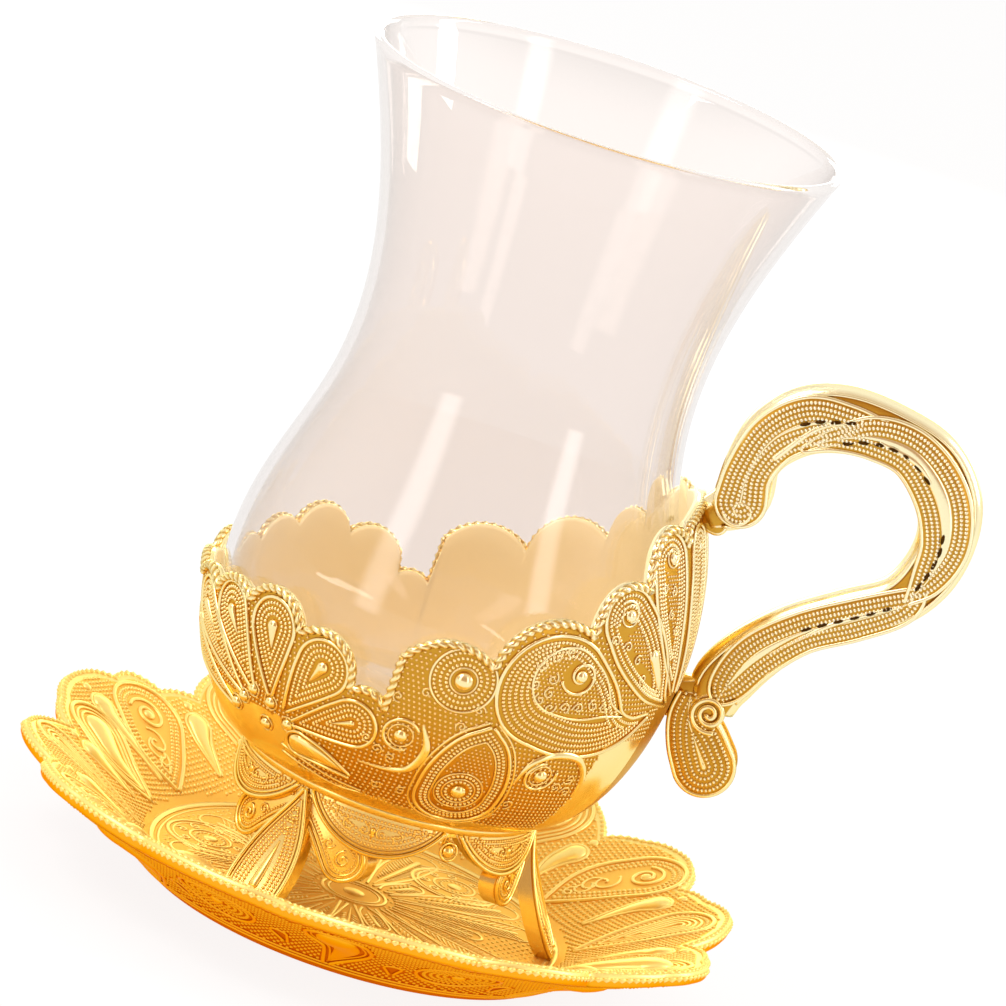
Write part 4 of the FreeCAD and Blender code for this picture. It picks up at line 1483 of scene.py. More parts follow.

# %% [markdown]
# ### Leaves on the handle
#
# Three long leaves overlap along the grip, each crowned like a real one. A leaf is laid in the
# order a goldsmith would use: the crowned plate, a wire round it, nested rows of grains, a
# smooth core and a raised spine. The slots beside the spine were sawn in the casting's model.
# A Boolean would cut true holes, but the grip is solid behind them, so each slot is a low dome
# whose colour is painted dark: painted shade in place of its depth.

# %% Leaves on the handle
CROWN = 0.16  # height of a leaf's middle as a share of its half width
OVERLAP = 0.15  # mm by which the second leaf lies over the others
handle_wires, handle_grains = Relief(), Relief()


def handle_face(side, off=HANDLE_HALF):
    """Places flat (x, z) drawings on the front (1) or back (-1) face of the handle."""
    def to_space(flat):
        return np.stack([flat[:, 0], -side * (off + flat[:, 2]), flat[:, 1]], 1)
    return to_space


def on_handle(stroke, grain=False, off=HANDLE_HALF):
    """Lays one stroke on both faces."""
    for side in (1, -1):
        (handle_grains if grain else handle_wires).lay(stroke, handle_face(side, off))


def handle_leaf(line, count, spacing=0.72, first=0.85, off=HANDLE_HALF, spine=None):
    """A crowned leaf: its outline, nested rows of grains, a smooth core and a spine."""
    # The crowned plate counts as ground, which the finish paints with shade.
    on_handle((*drop(line, CROWN, 14), 0.0), off=off)
    on_handle(wire(leaf(line, 0.1), 0.33), off=off)
    for stroke in nested(line, first, spacing, count, radius=0.29):
        on_handle(raised(stroke, line), True, off)
    core = thinner(line, first + (count - 0.45) * spacing, 0.12)
    on_handle((*raised(drop(core, 0.25, 14), line)[:2], UNSHADED), off=off)
    if spine:
        on_handle(drop(spine, 0.9), off=off + 0.35)


def raised(stroke, line):
    """Lifts a stroke onto a leaf's crown, which is highest along its middle."""
    points, faces = stroke
    dense = smooth(line, 0.3)
    gap = np.linalg.norm(points[:, None, :2] - dense[None, :, :2], axis=2)
    near = gap.argmin(axis=1)
    half = np.maximum(dense[near, 2], 0.2)
    share = np.clip(gap[np.arange(len(points)), near] / half, 0, 1)
    lifted = points.copy()
    lifted[:, 2] += CROWN * half * np.sqrt(1 - share ** 2)
    return lifted, faces, points[:, 2]


# Height that marks a slot, which the finish paints dark as shade.
PAINTED_SLOT = -1.0


def piercings(line, across, first, last, off=HANDLE_HALF, pitch=2.1, long=0.8, wide=0.27, lift=0.3):
    """Small slots cut beside a leaf's middle line, drawn as low domes that the finish paints
    dark: painted shade in place of their depth.
    """
    middle = smooth(line, 0.3)[:, :2]
    side = sideways(middle, False)
    path = even((middle + across * side)[int(first * len(middle)):int(last * len(middle))], pitch)
    aim = sideways(path, False)
    points, faces = domes(path, wide, lift, aim, 1.0, 8, ((1.0, 0.0), (0.9, 0.9)))
    centre = np.repeat(path, len(points) // len(path), axis=0)
    along = np.repeat(np.stack([aim[:, 1], -aim[:, 0]], 1), len(points) // len(path), axis=0)
    stretch = ((points[:, :2] - centre) * along).sum(axis=1)[:, None] * along * (long / wide - 1)
    points[:, :2] += stretch
    on_handle((*raised((points, faces), line)[:2], PAINTED_SLOT), off=off)


# Leaves and spines are counted from the bowl's side and the scroll's height.
GRIP_START = (BOWL_RADIUS, SCROLL[1])
first_leaf = line_from(GRIP_START, (-0.1, 29.6, 3.5), (-0.3, 34.0, 3.15), (1.5, 39.4, 3.5),
                       (5.4, 43.0, 3.7), (10.2, 44.6, 2.6), (15.5, 46.2, 0.4))
second_leaf = line_from(GRIP_START, (5.8, 39.4, 0.5), (9.4, 42.0, 1.6), (14.6, 43.9, 3.0),
                        (20.4, 43.2, 3.4), (25.6, 38.8, 3.7), (28.0, 33.0, 3.3), (27.4, 27.6, 2.3),
                        (25.6, 23.4, 0.4))
third_leaf = line_from(GRIP_START, (27.4, 25.8, 0.5), (25.0, 22.6, 2.4), (19.6, 18.9, 2.9),
                       (13.4, 14.9, 2.9), (8.6, 9.8, 3.2), (6.2, 4.8, 2.6), (5.4, 2.0, 0.5))
first_spine = line_from(GRIP_START, (2.4, 37.0, 0.5), (6.6, 42.6, 0.45), (11.6, 45.2, 0.15))
second_spine = line_from(GRIP_START, (15.4, 43.6, 0.3), (21.8, 41.9, 0.6), (26.6, 36.4, 0.2))
third_spine = line_from(GRIP_START, (24.6, 22.4, 0.3), (17.0, 17.4, 0.42), (10.0, 10.6, 0.2))
handle_leaf(first_leaf, 4, spine=first_spine)
handle_leaf(third_leaf, 3, spine=third_spine)
handle_leaf(second_leaf, 3, off=HANDLE_HALF + OVERLAP, spine=second_spine)
piercings(first_leaf, 0.1, 0.56, 0.80)
piercings(second_leaf, -0.75, 0.16, 0.50, HANDLE_HALF + OVERLAP)
piercings(second_leaf, -0.45, 0.72, 0.93, HANDLE_HALF + OVERLAP)
piercings(third_leaf, -0.35, 0.18, 0.52)

# %% Border wires, hanging leaf and scroll
edge = grip_line()
side = sideways(edge[:, :2], False)[2:-3]
edge = edge[2:-3]
for sign in (1, -1):
    on_handle(wire(edge[:, :2] + sign * (edge[:, 2:] - 1.05) * side, 0.24), off=HANDLE_HALF - 0.05)
drop_spine = line_from(SCROLL, (1.4, -7.2, 0.5), (0.2, -5.0, 0.2))
handle_leaf(DROP_LEAF, 4, 0.85, 0.9, off=2.0, spine=drop_spine)
on_handle(wire(spiral(SCROLL, 2.75, 0.35, 2.3, -60, -1), 0.42, 0.1), off=2.6)
hook = ROOT + [3.9, 2.6]
on_handle(wire(spiral(hook, 2.3, 0.4, 1.3, 200, 1), 0.26), off=HANDLE_HALF + 0.3)
handle_pieces = [handle, handle_wires.make("handle_wires"), handle_grains.make("handle_grains")]
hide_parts("handle")
for piece in handle_pieces:
    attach(piece, "root")

# %% [markdown]
# ## The stand
#
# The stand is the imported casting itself: its skirt, feet and curled leaves already have their
# true outlines, so a second body would add nothing. Only its ornament is laid on it: wire
# along every edge, arcs of grains on the six lappets, and rows of grains that climb each foot.

# %% Skirt
SKIRT_DROP = 6.4
SKIRT_FLARE = 0.9
LAPPET = 60  # degrees
LAPPET_SHARE = 0.95  # of its sixth of the ring, since a gap is left between two lappets
STAND_GRAINS = (0.25, 0.52)  # radius and pitch of the grains on the stand
stand_wires, stand_grains = Relief(), Relief()
skirt_face = Turned([(RING_RADIUS + SKIRT_FLARE * k, BOWL_BOTTOM - SKIRT_DROP * k)
                     for k in (2.0, 1.0, 0.0)])
SKIRT_TOP = skirt_face.up_to(BOWL_BOTTOM)


def lappet_edge(inset=0.0, count=60):
    """The lower edge of a lappet: an arc between its two straight sides, as (across, up)."""
    half = RING_RADIUS * math.sin(math.radians(LAPPET_SHARE * LAPPET / 2))
    side, low = SKIRT_TOP - 1.0, SKIRT_TOP - SKIRT_DROP
    across = np.linspace(-half, half, count)
    rise = side - low
    radius = (half ** 2 + rise ** 2) / (2 * rise)
    up = low + radius - np.sqrt(radius ** 2 - across ** 2)
    path = np.stack([across, up], 1)
    return path + inset * sideways(path, False)


for middle in range(LAPPET // 2, 360, LAPPET):
    chart = skirt_face.chart(middle)
    stand_wires.lay(wire(lappet_edge(0.15), 0.34), chart)
    stand_wires.lay(wire(lappet_edge(0.80), 0.20), chart)
    for inset in (1.35, 2.05, 2.75):
        path = lappet_edge(inset)
        stand_grains.lay(grains(path[path[:, 1] < SKIRT_TOP - 1.1], *STAND_GRAINS), chart)
    for row in range(2):
        up = SKIRT_TOP - 1.5 - 0.65 * row
        half = 8.6 - 1.6 * row
        stand_grains.lay(grains([(-half, up), (half, up)], *STAND_GRAINS), chart)
    for across, radius, hand in ((-3.4, 0.95, 1), (-1.2, 0.85, -1), (1.2, 0.85, 1), (3.4, 0.95, -1)):
        curl = spiral((across, SKIRT_TOP - 3.2), radius, 0.15, 1.3, 90, hand)
        stand_wires.lay(wire(curl, 0.17), chart)
    stand_wires.lay(drop([(0, SKIRT_TOP - 3.0, 0.45), (0, SKIRT_TOP - 4.2, 0.1)], 0.9), chart)
# A ring closes the gap between two lappets, wherever no foot does.
for angle in (60, 180, 300):
    ring = wire(circle((0.0, SKIRT_TOP - 3.4), 1.25), 0.2, closed=True)
    stand_wires.lay(ring, skirt_face.chart(angle))
print("skirt edge is", round(SKIRT_DROP, 1), "mm deep at the middle of a lappet")

# %% [markdown]
# ### Curls beside the feet
#
# From behind the skirt a curled leaf reaches down on each side of a foot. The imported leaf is
# plain, and it gets two wires along its edge, a row of grains and two small scrolls. It stands
# on a cone that widens slightly downwards, so that cone is the surface to draw on.

# %% Curls beside the feet
CURL_LENGTH, CURL_RADIUS, CURL_TILT = 11.8, 2.9, 45.0
CONE_INSET, CONE_FLARE = 0.55, 0.13
cone = Turned([(RING_RADIUS - CONE_INSET + CONE_FLARE * k, BOWL_BOTTOM - k) for k in (16.0, 0.0)])
CONE_TOP = cone.up_to(BOWL_BOTTOM)
curl_line = [(CURL_LENGTH * math.sin(math.radians(CURL_TILT)),
              CONE_TOP - CURL_LENGTH * math.cos(math.radians(CURL_TILT)), CURL_RADIUS),
             (4.2, CONE_TOP - 4.8, 2.2), (0.0, CONE_TOP - 2.4, 1.5)]
for foot in range(3):
    for hand in (1, -1):
        chart = cone.chart(120 * foot)
        line = [(hand * across, up, radius) for across, up, radius in curl_line]
        for inset, thick in ((0.05, 0.34), (0.75, 0.2)):
            stand_wires.lay(wire(leaf(line, inset), thick), chart)
        for stroke in nested(line, 1.25, 0.6, 1, radius=0.22, pitch=0.48):
            stand_grains.lay(stroke, chart)
        centre = np.array(line[0][:2])
        stand_wires.lay(wire(spiral(centre, 1.25, 0.2, 1.4, 90, hand), 0.22), chart)
        stand_wires.lay(wire(spiral(centre + [-hand * 2.6, 1.6], 0.9, 0.2, 1.2, 0, -hand), 0.18), chart)
print("a curl hangs", round(CONE_TOP - curl_line[0][1] + CURL_RADIUS, 1), "mm below the bowl")

# %% [markdown]
# ### Feet
#
# Each foot is a leaf that sweeps out to its sole, flat across and curved only lengthwise. It
# can't be drawn on a turned surface, so it has a chart of its own. Wires and rows of grains
# follow both of its sides, a smooth drop lies on the toe, and small chevrons climb its rib.

# %% Feet
FOOT_HEIGHT = BOWL_BOTTOM - SAUCER_FLOOR
FOOT_REACH = 8.2
FOOT_WIDTH = 8.6


def pulled(start, bend, end, count):
    """A curve from start to end that is pulled towards one bend."""
    t = np.linspace(0, 1, count)[:, None]
    start, bend, end = (np.array(place, float) for place in (start, bend, end))
    return start * (1 - t) ** 2 + 2 * bend * t * (1 - t) + end * t ** 2


def foot_profile():
    """Outer face of a foot seen from the side, from the sole up to the bowl."""
    return pulled((RING_RADIUS + FOOT_REACH, SAUCER_FLOOR),
                 (RING_RADIUS + 0.8, SAUCER_FLOOR + 0.58 * FOOT_HEIGHT), (RING_RADIUS, BOWL_BOTTOM), 40)


foot_face = Turned(foot_profile())
FOOT_RUN = foot_face.run[-1]


def foot_chart(angle):
    """Places (across, up) drawings on the flat-sided face of a foot."""
    turn = math.radians(angle)

    def to_space(flat):
        across, up, off = flat.T
        radius, height, nr, nz = foot_face.at(up)
        reach = radius + off * nr
        return np.stack([reach * math.cos(turn) + across * math.sin(turn),
                         reach * math.sin(turn) - across * math.cos(turn), height + off * nz], 1)
    return to_space


def foot_half(height):
    """Half width of a foot at a height over the saucer's floor."""
    half, wide = FOOT_WIDTH / 2, 0.24 * FOOT_HEIGHT
    upper = bezier((0, FOOT_HEIGHT), (0.3 * half, 0.75 * FOOT_HEIGHT),
                   (half, wide + 0.35 * FOOT_HEIGHT), (half, wide), 40)[::-1]
    lower = pulled((half / 2, 0.0), (half, 0.08 * FOOT_HEIGHT), (half, wide), 12)
    side = np.vstack([lower[:-1], upper])
    return np.interp(height, side[:, 1], side[:, 0])


def foot_side(inset, hand):
    """One side of a foot as (across, up) places, moved in by the inset."""
    up = np.linspace(0.6, FOOT_RUN - 0.8, 60)
    half = foot_half(foot_face.at(up)[1] - SAUCER_FLOOR) - inset
    keep = half > 0.15
    return np.stack([hand * half[keep], up[keep]], 1)


for foot in range(3):
    chart = foot_chart(120 * foot)
    for hand in (1, -1):
        stand_wires.lay(wire(foot_side(0.2, hand), 0.34), chart)
        stand_wires.lay(wire(foot_side(0.8, hand), 0.18), chart)
        for inset in (1.35, 2.0, 2.65):
            stand_grains.lay(grains(foot_side(inset, hand), *STAND_GRAINS), chart)
    stand_wires.lay(drop([(0, 4.6, 0.75), (0, 7.5, 0.6), (0, 11.5, 0.1)], 0.55), chart)
    for up in np.arange(12.5, FOOT_RUN - 4, 0.9):
        stand_wires.lay(wire([(-0.7, up + 0.5), (0, up), (0.7, up + 0.5)], 0.14), chart)
stand_ornament = [stand_wires.make("stand_wires"), stand_grains.make("stand_grains")]
for piece in stand_ornament:
    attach(piece, "root")

# %% [markdown]
# ## Finishes
#
# All the metal is one zinc alloy under one plating, about a micrometre of gold over bright
# nickel. What differs is how each surface was left: polished on a wheel, brushed to a satin,
# or just as it came from the bath. So one function makes every gold. It also paints light and
# shade into the colour: warm reflection low down and shade in the hollows, and the saucer's
# underside gets a deeper orange gold as painted warm reflection. It could be painted as a
# texture, but nodes that read the place and the relief's height fit every piece at once.

# %% Node helpers


def srgb(code):
    """A hex colour as linear red, green, blue and alpha."""
    values = [int(code[i:i + 2], 16) / 255 for i in (1, 3, 5)]
    return [v / 12.92 if v <= 0.04045 else ((v + 0.055) / 1.055) ** 2.4 for v in values] + [1.0]


def node(tree, kind, inputs=(), **settings):
    """Adds a node, sets its values and links by socket name or number, and returns it."""
    made = tree.nodes.new(kind)
    for key, value in settings.items():
        setattr(made, key, value)
    for key, value in dict(inputs).items():
        if isinstance(value, bpy.types.NodeSocket):
            tree.links.new(value, made.inputs[key])
        else:
            made.inputs[key].default_value = value
    return made


# Numbers of the Mix node's colour sockets, whose names it shares with its number sockets.
MIX_A, MIX_B, MIX_RESULT = 6, 7, 2


def new_material(name):
    """A material with an empty node tree, and the tree."""
    material = bpy.data.materials.new(name)
    material.use_nodes = True
    tree = material.node_tree
    tree.nodes.clear()
    return material, tree


print("mid grey #808080 is", round(srgb("#808080")[0], 3), "in linear light")

# %% Gold plate
HEIGHT_TONE_FROM, HEIGHT_TONE_TO = 16.0, 62.0  # heights in mm over which the gold is painted from deep to pale: painted warm reflection low down
DRIFT = 9.0  # mm, width of the patches in which a bath's plating drifts in tone
SHADE_ENDS_AT = 0.24  # mm over the ground, below which the finish paints shade into the hollows
MARK_DEPTH = 0.02  # mm, of the marks that the last tool left
# Dark brown of the slots: painted shade in place of their depth.
PAINTED_SLOT_SHADE = "#4A3010"


def gold_plate(name, light, deep, hollow_shade, polish_from, polish_to, grit, bump=0.25, metallic=1.0):
    """Gold plate on a zinc casting, painted deeper in colour near the foot and paler near the rim
    as warm reflection, and painted brown in its hollows as shade, where it is rougher too.

    Polish is the roughness between its two limits. Grit is the size in mm of the marks left by
    the last tool. Real marks are about 0.1 mm wide, and they are drawn four times coarser here,
    because finer ones would only be noise at the size of the whole object."""
    material, tree = new_material(name)
    place = node(tree, "ShaderNodeTexCoord").outputs["Object"]
    up = node(tree, "ShaderNodeSeparateXYZ", {"Vector": place}).outputs["Z"]
    # The gold is painted deeper low down and paler up high: painted warm reflection.
    painted_height_tone = node(tree, "ShaderNodeMapRange", {
        "Value": up, "From Min": HEIGHT_TONE_FROM * MM, "From Max": HEIGHT_TONE_TO * MM,
        "To Min": -0.2, "To Max": 0.8}).outputs["Result"]
    drift = node(tree, "ShaderNodeTexNoise", {
        "Vector": place, "Scale": 1 / (DRIFT * MM), "Detail": 3.0}).outputs["Fac"]
    pale = node(tree, "ShaderNodeMath", {0: drift, 1: 0.4, 2: painted_height_tone}, operation="MULTIPLY_ADD",
                use_clamp=True).outputs[0]
    plate = node(tree, "ShaderNodeMix", {0: pale, MIX_A: srgb(deep), MIX_B: srgb(light)},
                 data_type="RGBA").outputs[MIX_RESULT]
    marks = node(tree, "ShaderNodeTexNoise", {
        "Vector": place, "Scale": 1 / (grit * MM), "Detail": 2.0}).outputs["Fac"]
    rough = node(tree, "ShaderNodeMapRange", {
        "Value": marks, "To Min": polish_from, "To Max": polish_to}).outputs["Result"]
    # The ground is painted brown by the relief's height: painted shade in the hollows.
    if hollow_shade:
        height = node(tree, "ShaderNodeAttribute", attribute_name="height").outputs["Fac"]
        hollow = node(tree, "ShaderNodeMapRange", {
            "Value": height, "From Max": SHADE_ENDS_AT, "To Min": 1.0, "To Max": 0.0}).outputs["Result"]
        plate = node(tree, "ShaderNodeMix", {0: hollow, MIX_A: plate, MIX_B: srgb(hollow_shade)},
                     data_type="RGBA", blend_type="MULTIPLY").outputs[MIX_RESULT]
        # Slots are painted dark brown: painted shade in place of their depth.
        slot_shade = node(tree, "ShaderNodeMapRange", {
            "Value": height, "From Min": PAINTED_SLOT, "From Max": PAINTED_SLOT / 2,
            "To Min": 1.0, "To Max": 0.0}).outputs["Result"]
        plate = node(tree, "ShaderNodeMix", {0: slot_shade, MIX_A: plate, MIX_B: srgb(PAINTED_SLOT_SHADE)},
                     data_type="RGBA").outputs[MIX_RESULT]
        rough = node(tree, "ShaderNodeMath", {0: hollow, 1: 0.2, 2: rough},
                     operation="MULTIPLY_ADD").outputs[0]
    relief = node(tree, "ShaderNodeBump", {
        "Height": marks, "Strength": bump, "Distance": MARK_DEPTH * MM})
    shader = node(tree, "ShaderNodeBsdfPrincipled", {
        "Base Color": plate, "Metallic": metallic, "Roughness": rough,
        "Normal": relief.outputs["Normal"], "Specular Tint": srgb(light)})
    node(tree, "ShaderNodeOutputMaterial", {"Surface": shader.outputs["BSDF"]})
    return material


# Polished on a wheel: sharp streaks of light on the wires and grains, and painted brown shade between
# them.
bright_gold = gold_plate("gold_plated_zinc_bright", "#FFF3C6", "#FFE07C", "#D4AA50", 0.13, 0.24, 0.5)
# The handle's grains get the palest copy of the gold.
pale_gold = gold_plate("gold_plated_zinc_pale", "#FFF9DC", "#FFEDA4", "#CDB068", 0.13, 0.24, 0.5)
# The stand's own faces are smooth and open. They get no painted shade in hollows, only soft streaks.
plain_gold = gold_plate("gold_plated_zinc_plain", "#FFF2B4", "#FFE28A", None, 0.18, 0.30, 0.5)
# The bowl's inside stays as it came from the bath. Its fine pores scatter light like paint, so
# it isn't drawn as a mirror: it glows evenly behind the glass.
inner_gold = gold_plate("gold_plated_zinc_inside", "#FFEFBE", "#FFE6AA", None, 0.42, 0.55, 0.4,
                        bump=0.4, metallic=0.0)
# The dish was brushed, which spreads each highlight into a broad sheen. Part of its light is
# scattered in the brush marks, so it is only partly a mirror.
satin_gold = gold_plate("gold_plated_zinc_satin", "#FFEA9A", "#FFE488", "#FFE8BC", 0.32, 0.44, 0.4,
                        bump=0.4, metallic=0.7)
# The saucer's underside and edge get a deeper orange copy of the gold, which is painted warm
# reflection, and it is rougher, without sparkle.
deep_gold = gold_plate("gold_plated_zinc_deep", "#FFBC30", "#FFB024", "#D89E38", 0.30, 0.42, 0.4,
                       bump=0.4)
print("golds:", [material.name for material in bpy.data.materials if "zinc" in material.name])

# %% [markdown]
# ### Glass
#
# The glass is soda lime, blown in a mould and then fire-polished, so its skin is perfectly
# smooth. Light that grazes the wall runs a longer way inside it, which makes the outline grey.
# A shader in the volume would do this too, but slowly and with noise, so the colour follows the
# angle instead. Two walls are four surfaces. Light that meets more is caught in the lip or the
# foot and is let straight out, since a real lip is bright where endless reflections go black.

# %% Clear glass
SURFACES_OF_TWO_WALLS = 4
GRAZING_POWER = 3.5

clear_glass, tree = new_material("soda_lime_glass")
facing = node(tree, "ShaderNodeLayerWeight", {"Blend": 0.5}).outputs["Facing"]
grazing = node(tree, "ShaderNodeMath", {0: facing, 1: GRAZING_POWER}, operation="POWER").outputs[0]
tone = node(tree, "ShaderNodeMix", {0: grazing, MIX_A: srgb("#F5EEEA"), MIX_B: srgb("#8E857F")},
            data_type="RGBA").outputs[MIX_RESULT]
wall = node(tree, "ShaderNodeBsdfPrincipled", {
    "Base Color": tone, "Roughness": 0.0, "IOR": 1.5, "Transmission Weight": 1.0})
clear = node(tree, "ShaderNodeBsdfTransparent", {"Color": srgb("#FEFCFA")})
rays = node(tree, "ShaderNodeLightPath").outputs
# Light on its way to shade or tint other things passes too: thin glass hardly shades at all.
caught = node(tree, "ShaderNodeMath", {0: rays["Ray Depth"], 1: SURFACES_OF_TWO_WALLS - 0.5},
              operation="GREATER_THAN").outputs[0]
passing = node(tree, "ShaderNodeMath", {0: rays["Is Shadow Ray"], 1: rays["Is Diffuse Ray"]},
               operation="MAXIMUM").outputs[0]
passing = node(tree, "ShaderNodeMath", {0: passing, 1: caught}, operation="MAXIMUM").outputs[0]
mixed = node(tree, "ShaderNodeMixShader", {0: passing, 1: wall.outputs["BSDF"], 2: clear.outputs["BSDF"]})
node(tree, "ShaderNodeOutputMaterial", {"Surface": mixed.outputs[0]})
print("the glass lets light out after", SURFACES_OF_TWO_WALLS, "surfaces")

# %% [markdown]
# ### Giving each piece its finish
#
# The bath plates the whole casting, and the wheel and the brush then go over parts of it. The
# bowl's and the saucer's faces already carry numbers for that, so a body takes two finishes
# and a single mesh stays in one piece. Splitting it by finish would leave open seams.

# %% Giving each piece its finish


def finish(piece, *materials):
    """Gives a piece its materials. Clearing the list first would reset which face has which."""
    for number, material in enumerate(materials):
        if number < len(piece.data.materials):
            piece.data.materials[number] = material
        else:
            piece.data.materials.append(material)


finish(glass, clear_glass)
finish(bowl, bright_gold, inner_gold)
finish(saucer, satin_gold, deep_gold)
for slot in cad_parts["stand"].material_slots:
    slot.material = plain_gold
for material, pieces in ((bright_gold, bowl_ornament + stand_ornament + handle_pieces[:2]),
                         (pale_gold, handle_pieces[2:]),
                         (satin_gold, saucer_ornament), (deep_gold, underside)):
    for piece in pieces:
        finish(piece, material)
    print(material.name, "is on", [piece.name for piece in pieces])

# %% [markdown]
# ## Floor, light and camera
#
# The object stands on a sheet of white paper in a white room. Bright metal shows little but
# its surroundings, so it needs something to mirror: large soft lamps for smooth light, and
# one darker side that draws the dark flank of every wire.

# %% Paper floor
FLOOR_HALF = 4000.0
FLOOR_GAP = 0.05  # mm below the saucer, so that their faces don't flicker
GLOW_SHARE = 0.88

corners = np.array([[-1, -1, 0], [1, -1, 0], [1, 1, 0], [-1, 1, 0]]) * FLOOR_HALF
floor_mesh = Relief()
floor_mesh.add(corners - [0, 0, FLOOR_GAP], [np.array([[0, 1, 2, 3]])])
floor = floor_mesh.make("floor")
# Matt uncoated paper scatters light evenly, so it takes a soft shadow. It is lit well beyond
# white in a studio, which the glow stands for: the paper looks white but lights nothing.
paper, tree = new_material("white_paper_sweep")
rays = node(tree, "ShaderNodeLightPath").outputs
diffuse = node(tree, "ShaderNodeBsdfDiffuse", {"Color": srgb("#FCFBFA")})
glow = node(tree, "ShaderNodeEmission", {"Color": srgb("#FFFFFF"), "Strength": 1.0})
seen = node(tree, "ShaderNodeMath", {0: rays["Is Camera Ray"], 1: rays["Is Glossy Ray"]},
            operation="MAXIMUM").outputs[0]
seen = node(tree, "ShaderNodeMath", {0: seen, 1: rays["Is Transmission Ray"]},
            operation="MAXIMUM").outputs[0]
share = node(tree, "ShaderNodeMath", {0: seen, 1: GLOW_SHARE}, operation="MULTIPLY").outputs[0]
mixed = node(tree, "ShaderNodeMixShader", {"Fac": share, 1: diffuse.outputs[0], 2: glow.outputs[0]})
node(tree, "ShaderNodeOutputMaterial", {"Surface": mixed.outputs[0]})
finish(floor, paper)

# %% [markdown]
# ### White room
#
# The room is white behind and above the object, and a warm, dim wall stands behind the camera.
# An environment image would give more detail, but three nodes that read a ray's direction are
# enough for metal this small, and the blend from wall to white has no edge to mirror.

# %% White room
WALL_FROM, WALL_TO = -0.75, 0.15  # how far towards the camera the wall begins and ends

world = bpy.data.worlds.new("studio")
bpy.context.scene.world = world
world.use_nodes = True
tree = world.node_tree
tree.nodes.clear()
rays = node(tree, "ShaderNodeLightPath").outputs
# Seen directly or through the glass, the room is pure white.
seen = node(tree, "ShaderNodeMath", {0: rays["Is Camera Ray"], 1: rays["Transmission Depth"]},
            operation="MAXIMUM", use_clamp=True).outputs[0]
way = node(tree, "ShaderNodeTexCoord").outputs["Generated"]
away = node(tree, "ShaderNodeSeparateXYZ", {"Vector": way}).outputs["Y"]
white = node(tree, "ShaderNodeMapRange", {
    "Value": away, "From Min": WALL_FROM, "From Max": WALL_TO}).outputs["Result"]
room = node(tree, "ShaderNodeMix", {0: white, MIX_A: srgb("#C9A58B"), MIX_B: srgb("#FFFFFF")},
            data_type="RGBA").outputs[MIX_RESULT]
room = node(tree, "ShaderNodeMix", {0: seen, MIX_A: room, MIX_B: srgb("#FFFFFF")},
            data_type="RGBA").outputs[MIX_RESULT]
sky = node(tree, "ShaderNodeBackground", {"Color": room, "Strength": 1.0})
node(tree, "ShaderNodeOutputWorld", {"Surface": sky.outputs[0]})
print("world:", world.name)

# %% [markdown]
# ### Lamps
#
# Two tall softboxes stand left and right of the camera and give the glass its long highlights.
# A softbox's cloth is brightest in its middle and dims towards its rim, and so do its
# reflections. A plain area lamp has hard edges instead, which would cut the highlights off.

# %% Lamps
CLOTH_GAIN = 2.2  # makes up for the light that the dim rim loses


def area_light(name, place, aim, size, power):
    """A rectangular lamp aimed at a place, with its sizes in mm and its power in watts."""
    data = bpy.data.lights.new(name, "AREA")
    data.shape = "RECTANGLE"
    data.size, data.size_y = size[0] * MM, size[1] * MM
    data.energy = power
    lamp = bpy.data.objects.new(name, data)
    lamp.location = Vector(place) * MM
    lamp.rotation_euler = (Vector(aim) - Vector(place)).to_track_quat("-Z", "Y").to_euler()
    bpy.context.scene.collection.objects.link(lamp)
    print(name, "gives", power, "W")
    return lamp


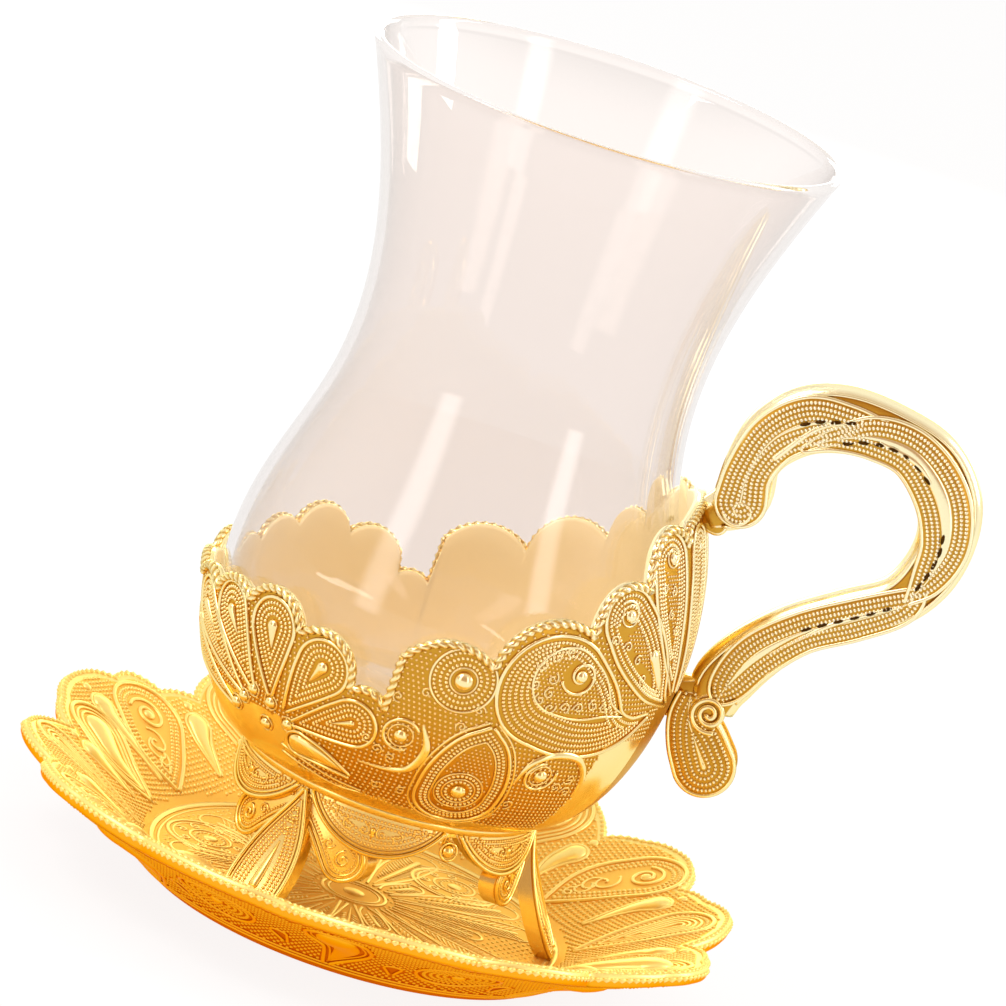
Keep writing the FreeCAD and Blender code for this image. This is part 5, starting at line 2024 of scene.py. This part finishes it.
def feather(lamp):
    """Fades a lamp from its middle to its rim, as cloth does."""
    lamp.data.use_nodes = True
    tree = lamp.data.node_tree
    tree.nodes.clear()
    cloth = node(tree, "ShaderNodeNewGeometry").outputs["Parametric"]
    place = node(tree, "ShaderNodeSeparateXYZ", {"Vector": cloth})
    bright = CLOTH_GAIN
    for side in "XY":
        off = node(tree, "ShaderNodeMath", {0: place.outputs[side], 1: 0.5}, operation="SUBTRACT")
        off = node(tree, "ShaderNodeMath", {0: off.outputs[0]}, operation="ABSOLUTE")
        fade = node(tree, "ShaderNodeMapRange", {
            "Value": off.outputs[0], "From Min": 0.5, "From Max": 0.15}, interpolation_type="SMOOTHSTEP")
        bright = node(tree, "ShaderNodeMath", {0: fade.outputs[0], 1: bright},
                      operation="MULTIPLY").outputs[0]
    cloth = node(tree, "ShaderNodeEmission", {"Strength": bright})
    node(tree, "ShaderNodeOutputLight", {"Surface": cloth.outputs[0]})


area_light("key_softbox", (-420, -260, 620), (0, 0, 50), (360, 360), 2.2)
area_light("rim_strip", (520, 120, 380), (20, 0, 60), (120, 420), 1.2)
# The fill is hidden from the glass, where its edges would show as lines.
back_fill = area_light("back_fill", (0, 620, 170), (0, 0, 10), (800, 240), 1.8)
back_fill.visible_transmission = False
feather(area_light("left_strip", (-430, -560, 240), (0, 0, 60), (260, 1050), 0.9))
feather(area_light("right_strip", (430, -420, 240), (0, 0, 60), (180, 1050), 0.7))

# %% [markdown]
# ### Camera
#
# A long lens from nearly a metre away looks down a little, so the saucer shows as a flat
# ellipse and the glass hardly tapers. A short lens close by would swell the near edge.

# %% Camera
CAMERA_PLACE = (3, -965, 303.28)  # mm
CAMERA_DOWN, CAMERA_ROLL = 14.07, 18  # degrees
CAMERA_LENS, CAMERA_SENSOR = 261.7, 36.0

bpy.context.scene.view_settings.view_transform = "Standard"
camera_data = bpy.data.cameras.new("camera")
camera_data.lens, camera_data.sensor_width = CAMERA_LENS, CAMERA_SENSOR
camera_data.clip_start, camera_data.clip_end = 0.05, 20.0
camera = bpy.data.objects.new("camera", camera_data)
bpy.context.scene.collection.objects.link(camera)
look = (Matrix.Rotation(math.radians(90 - CAMERA_DOWN), 4, "X")
        @ Matrix.Rotation(math.radians(CAMERA_ROLL), 4, "Z"))
camera.matrix_world = Matrix.Translation(Vector(CAMERA_PLACE) * MM) @ look
bpy.context.scene.camera = camera
print("the camera stands", round(-CAMERA_PLACE[1]), "mm in front of the object")
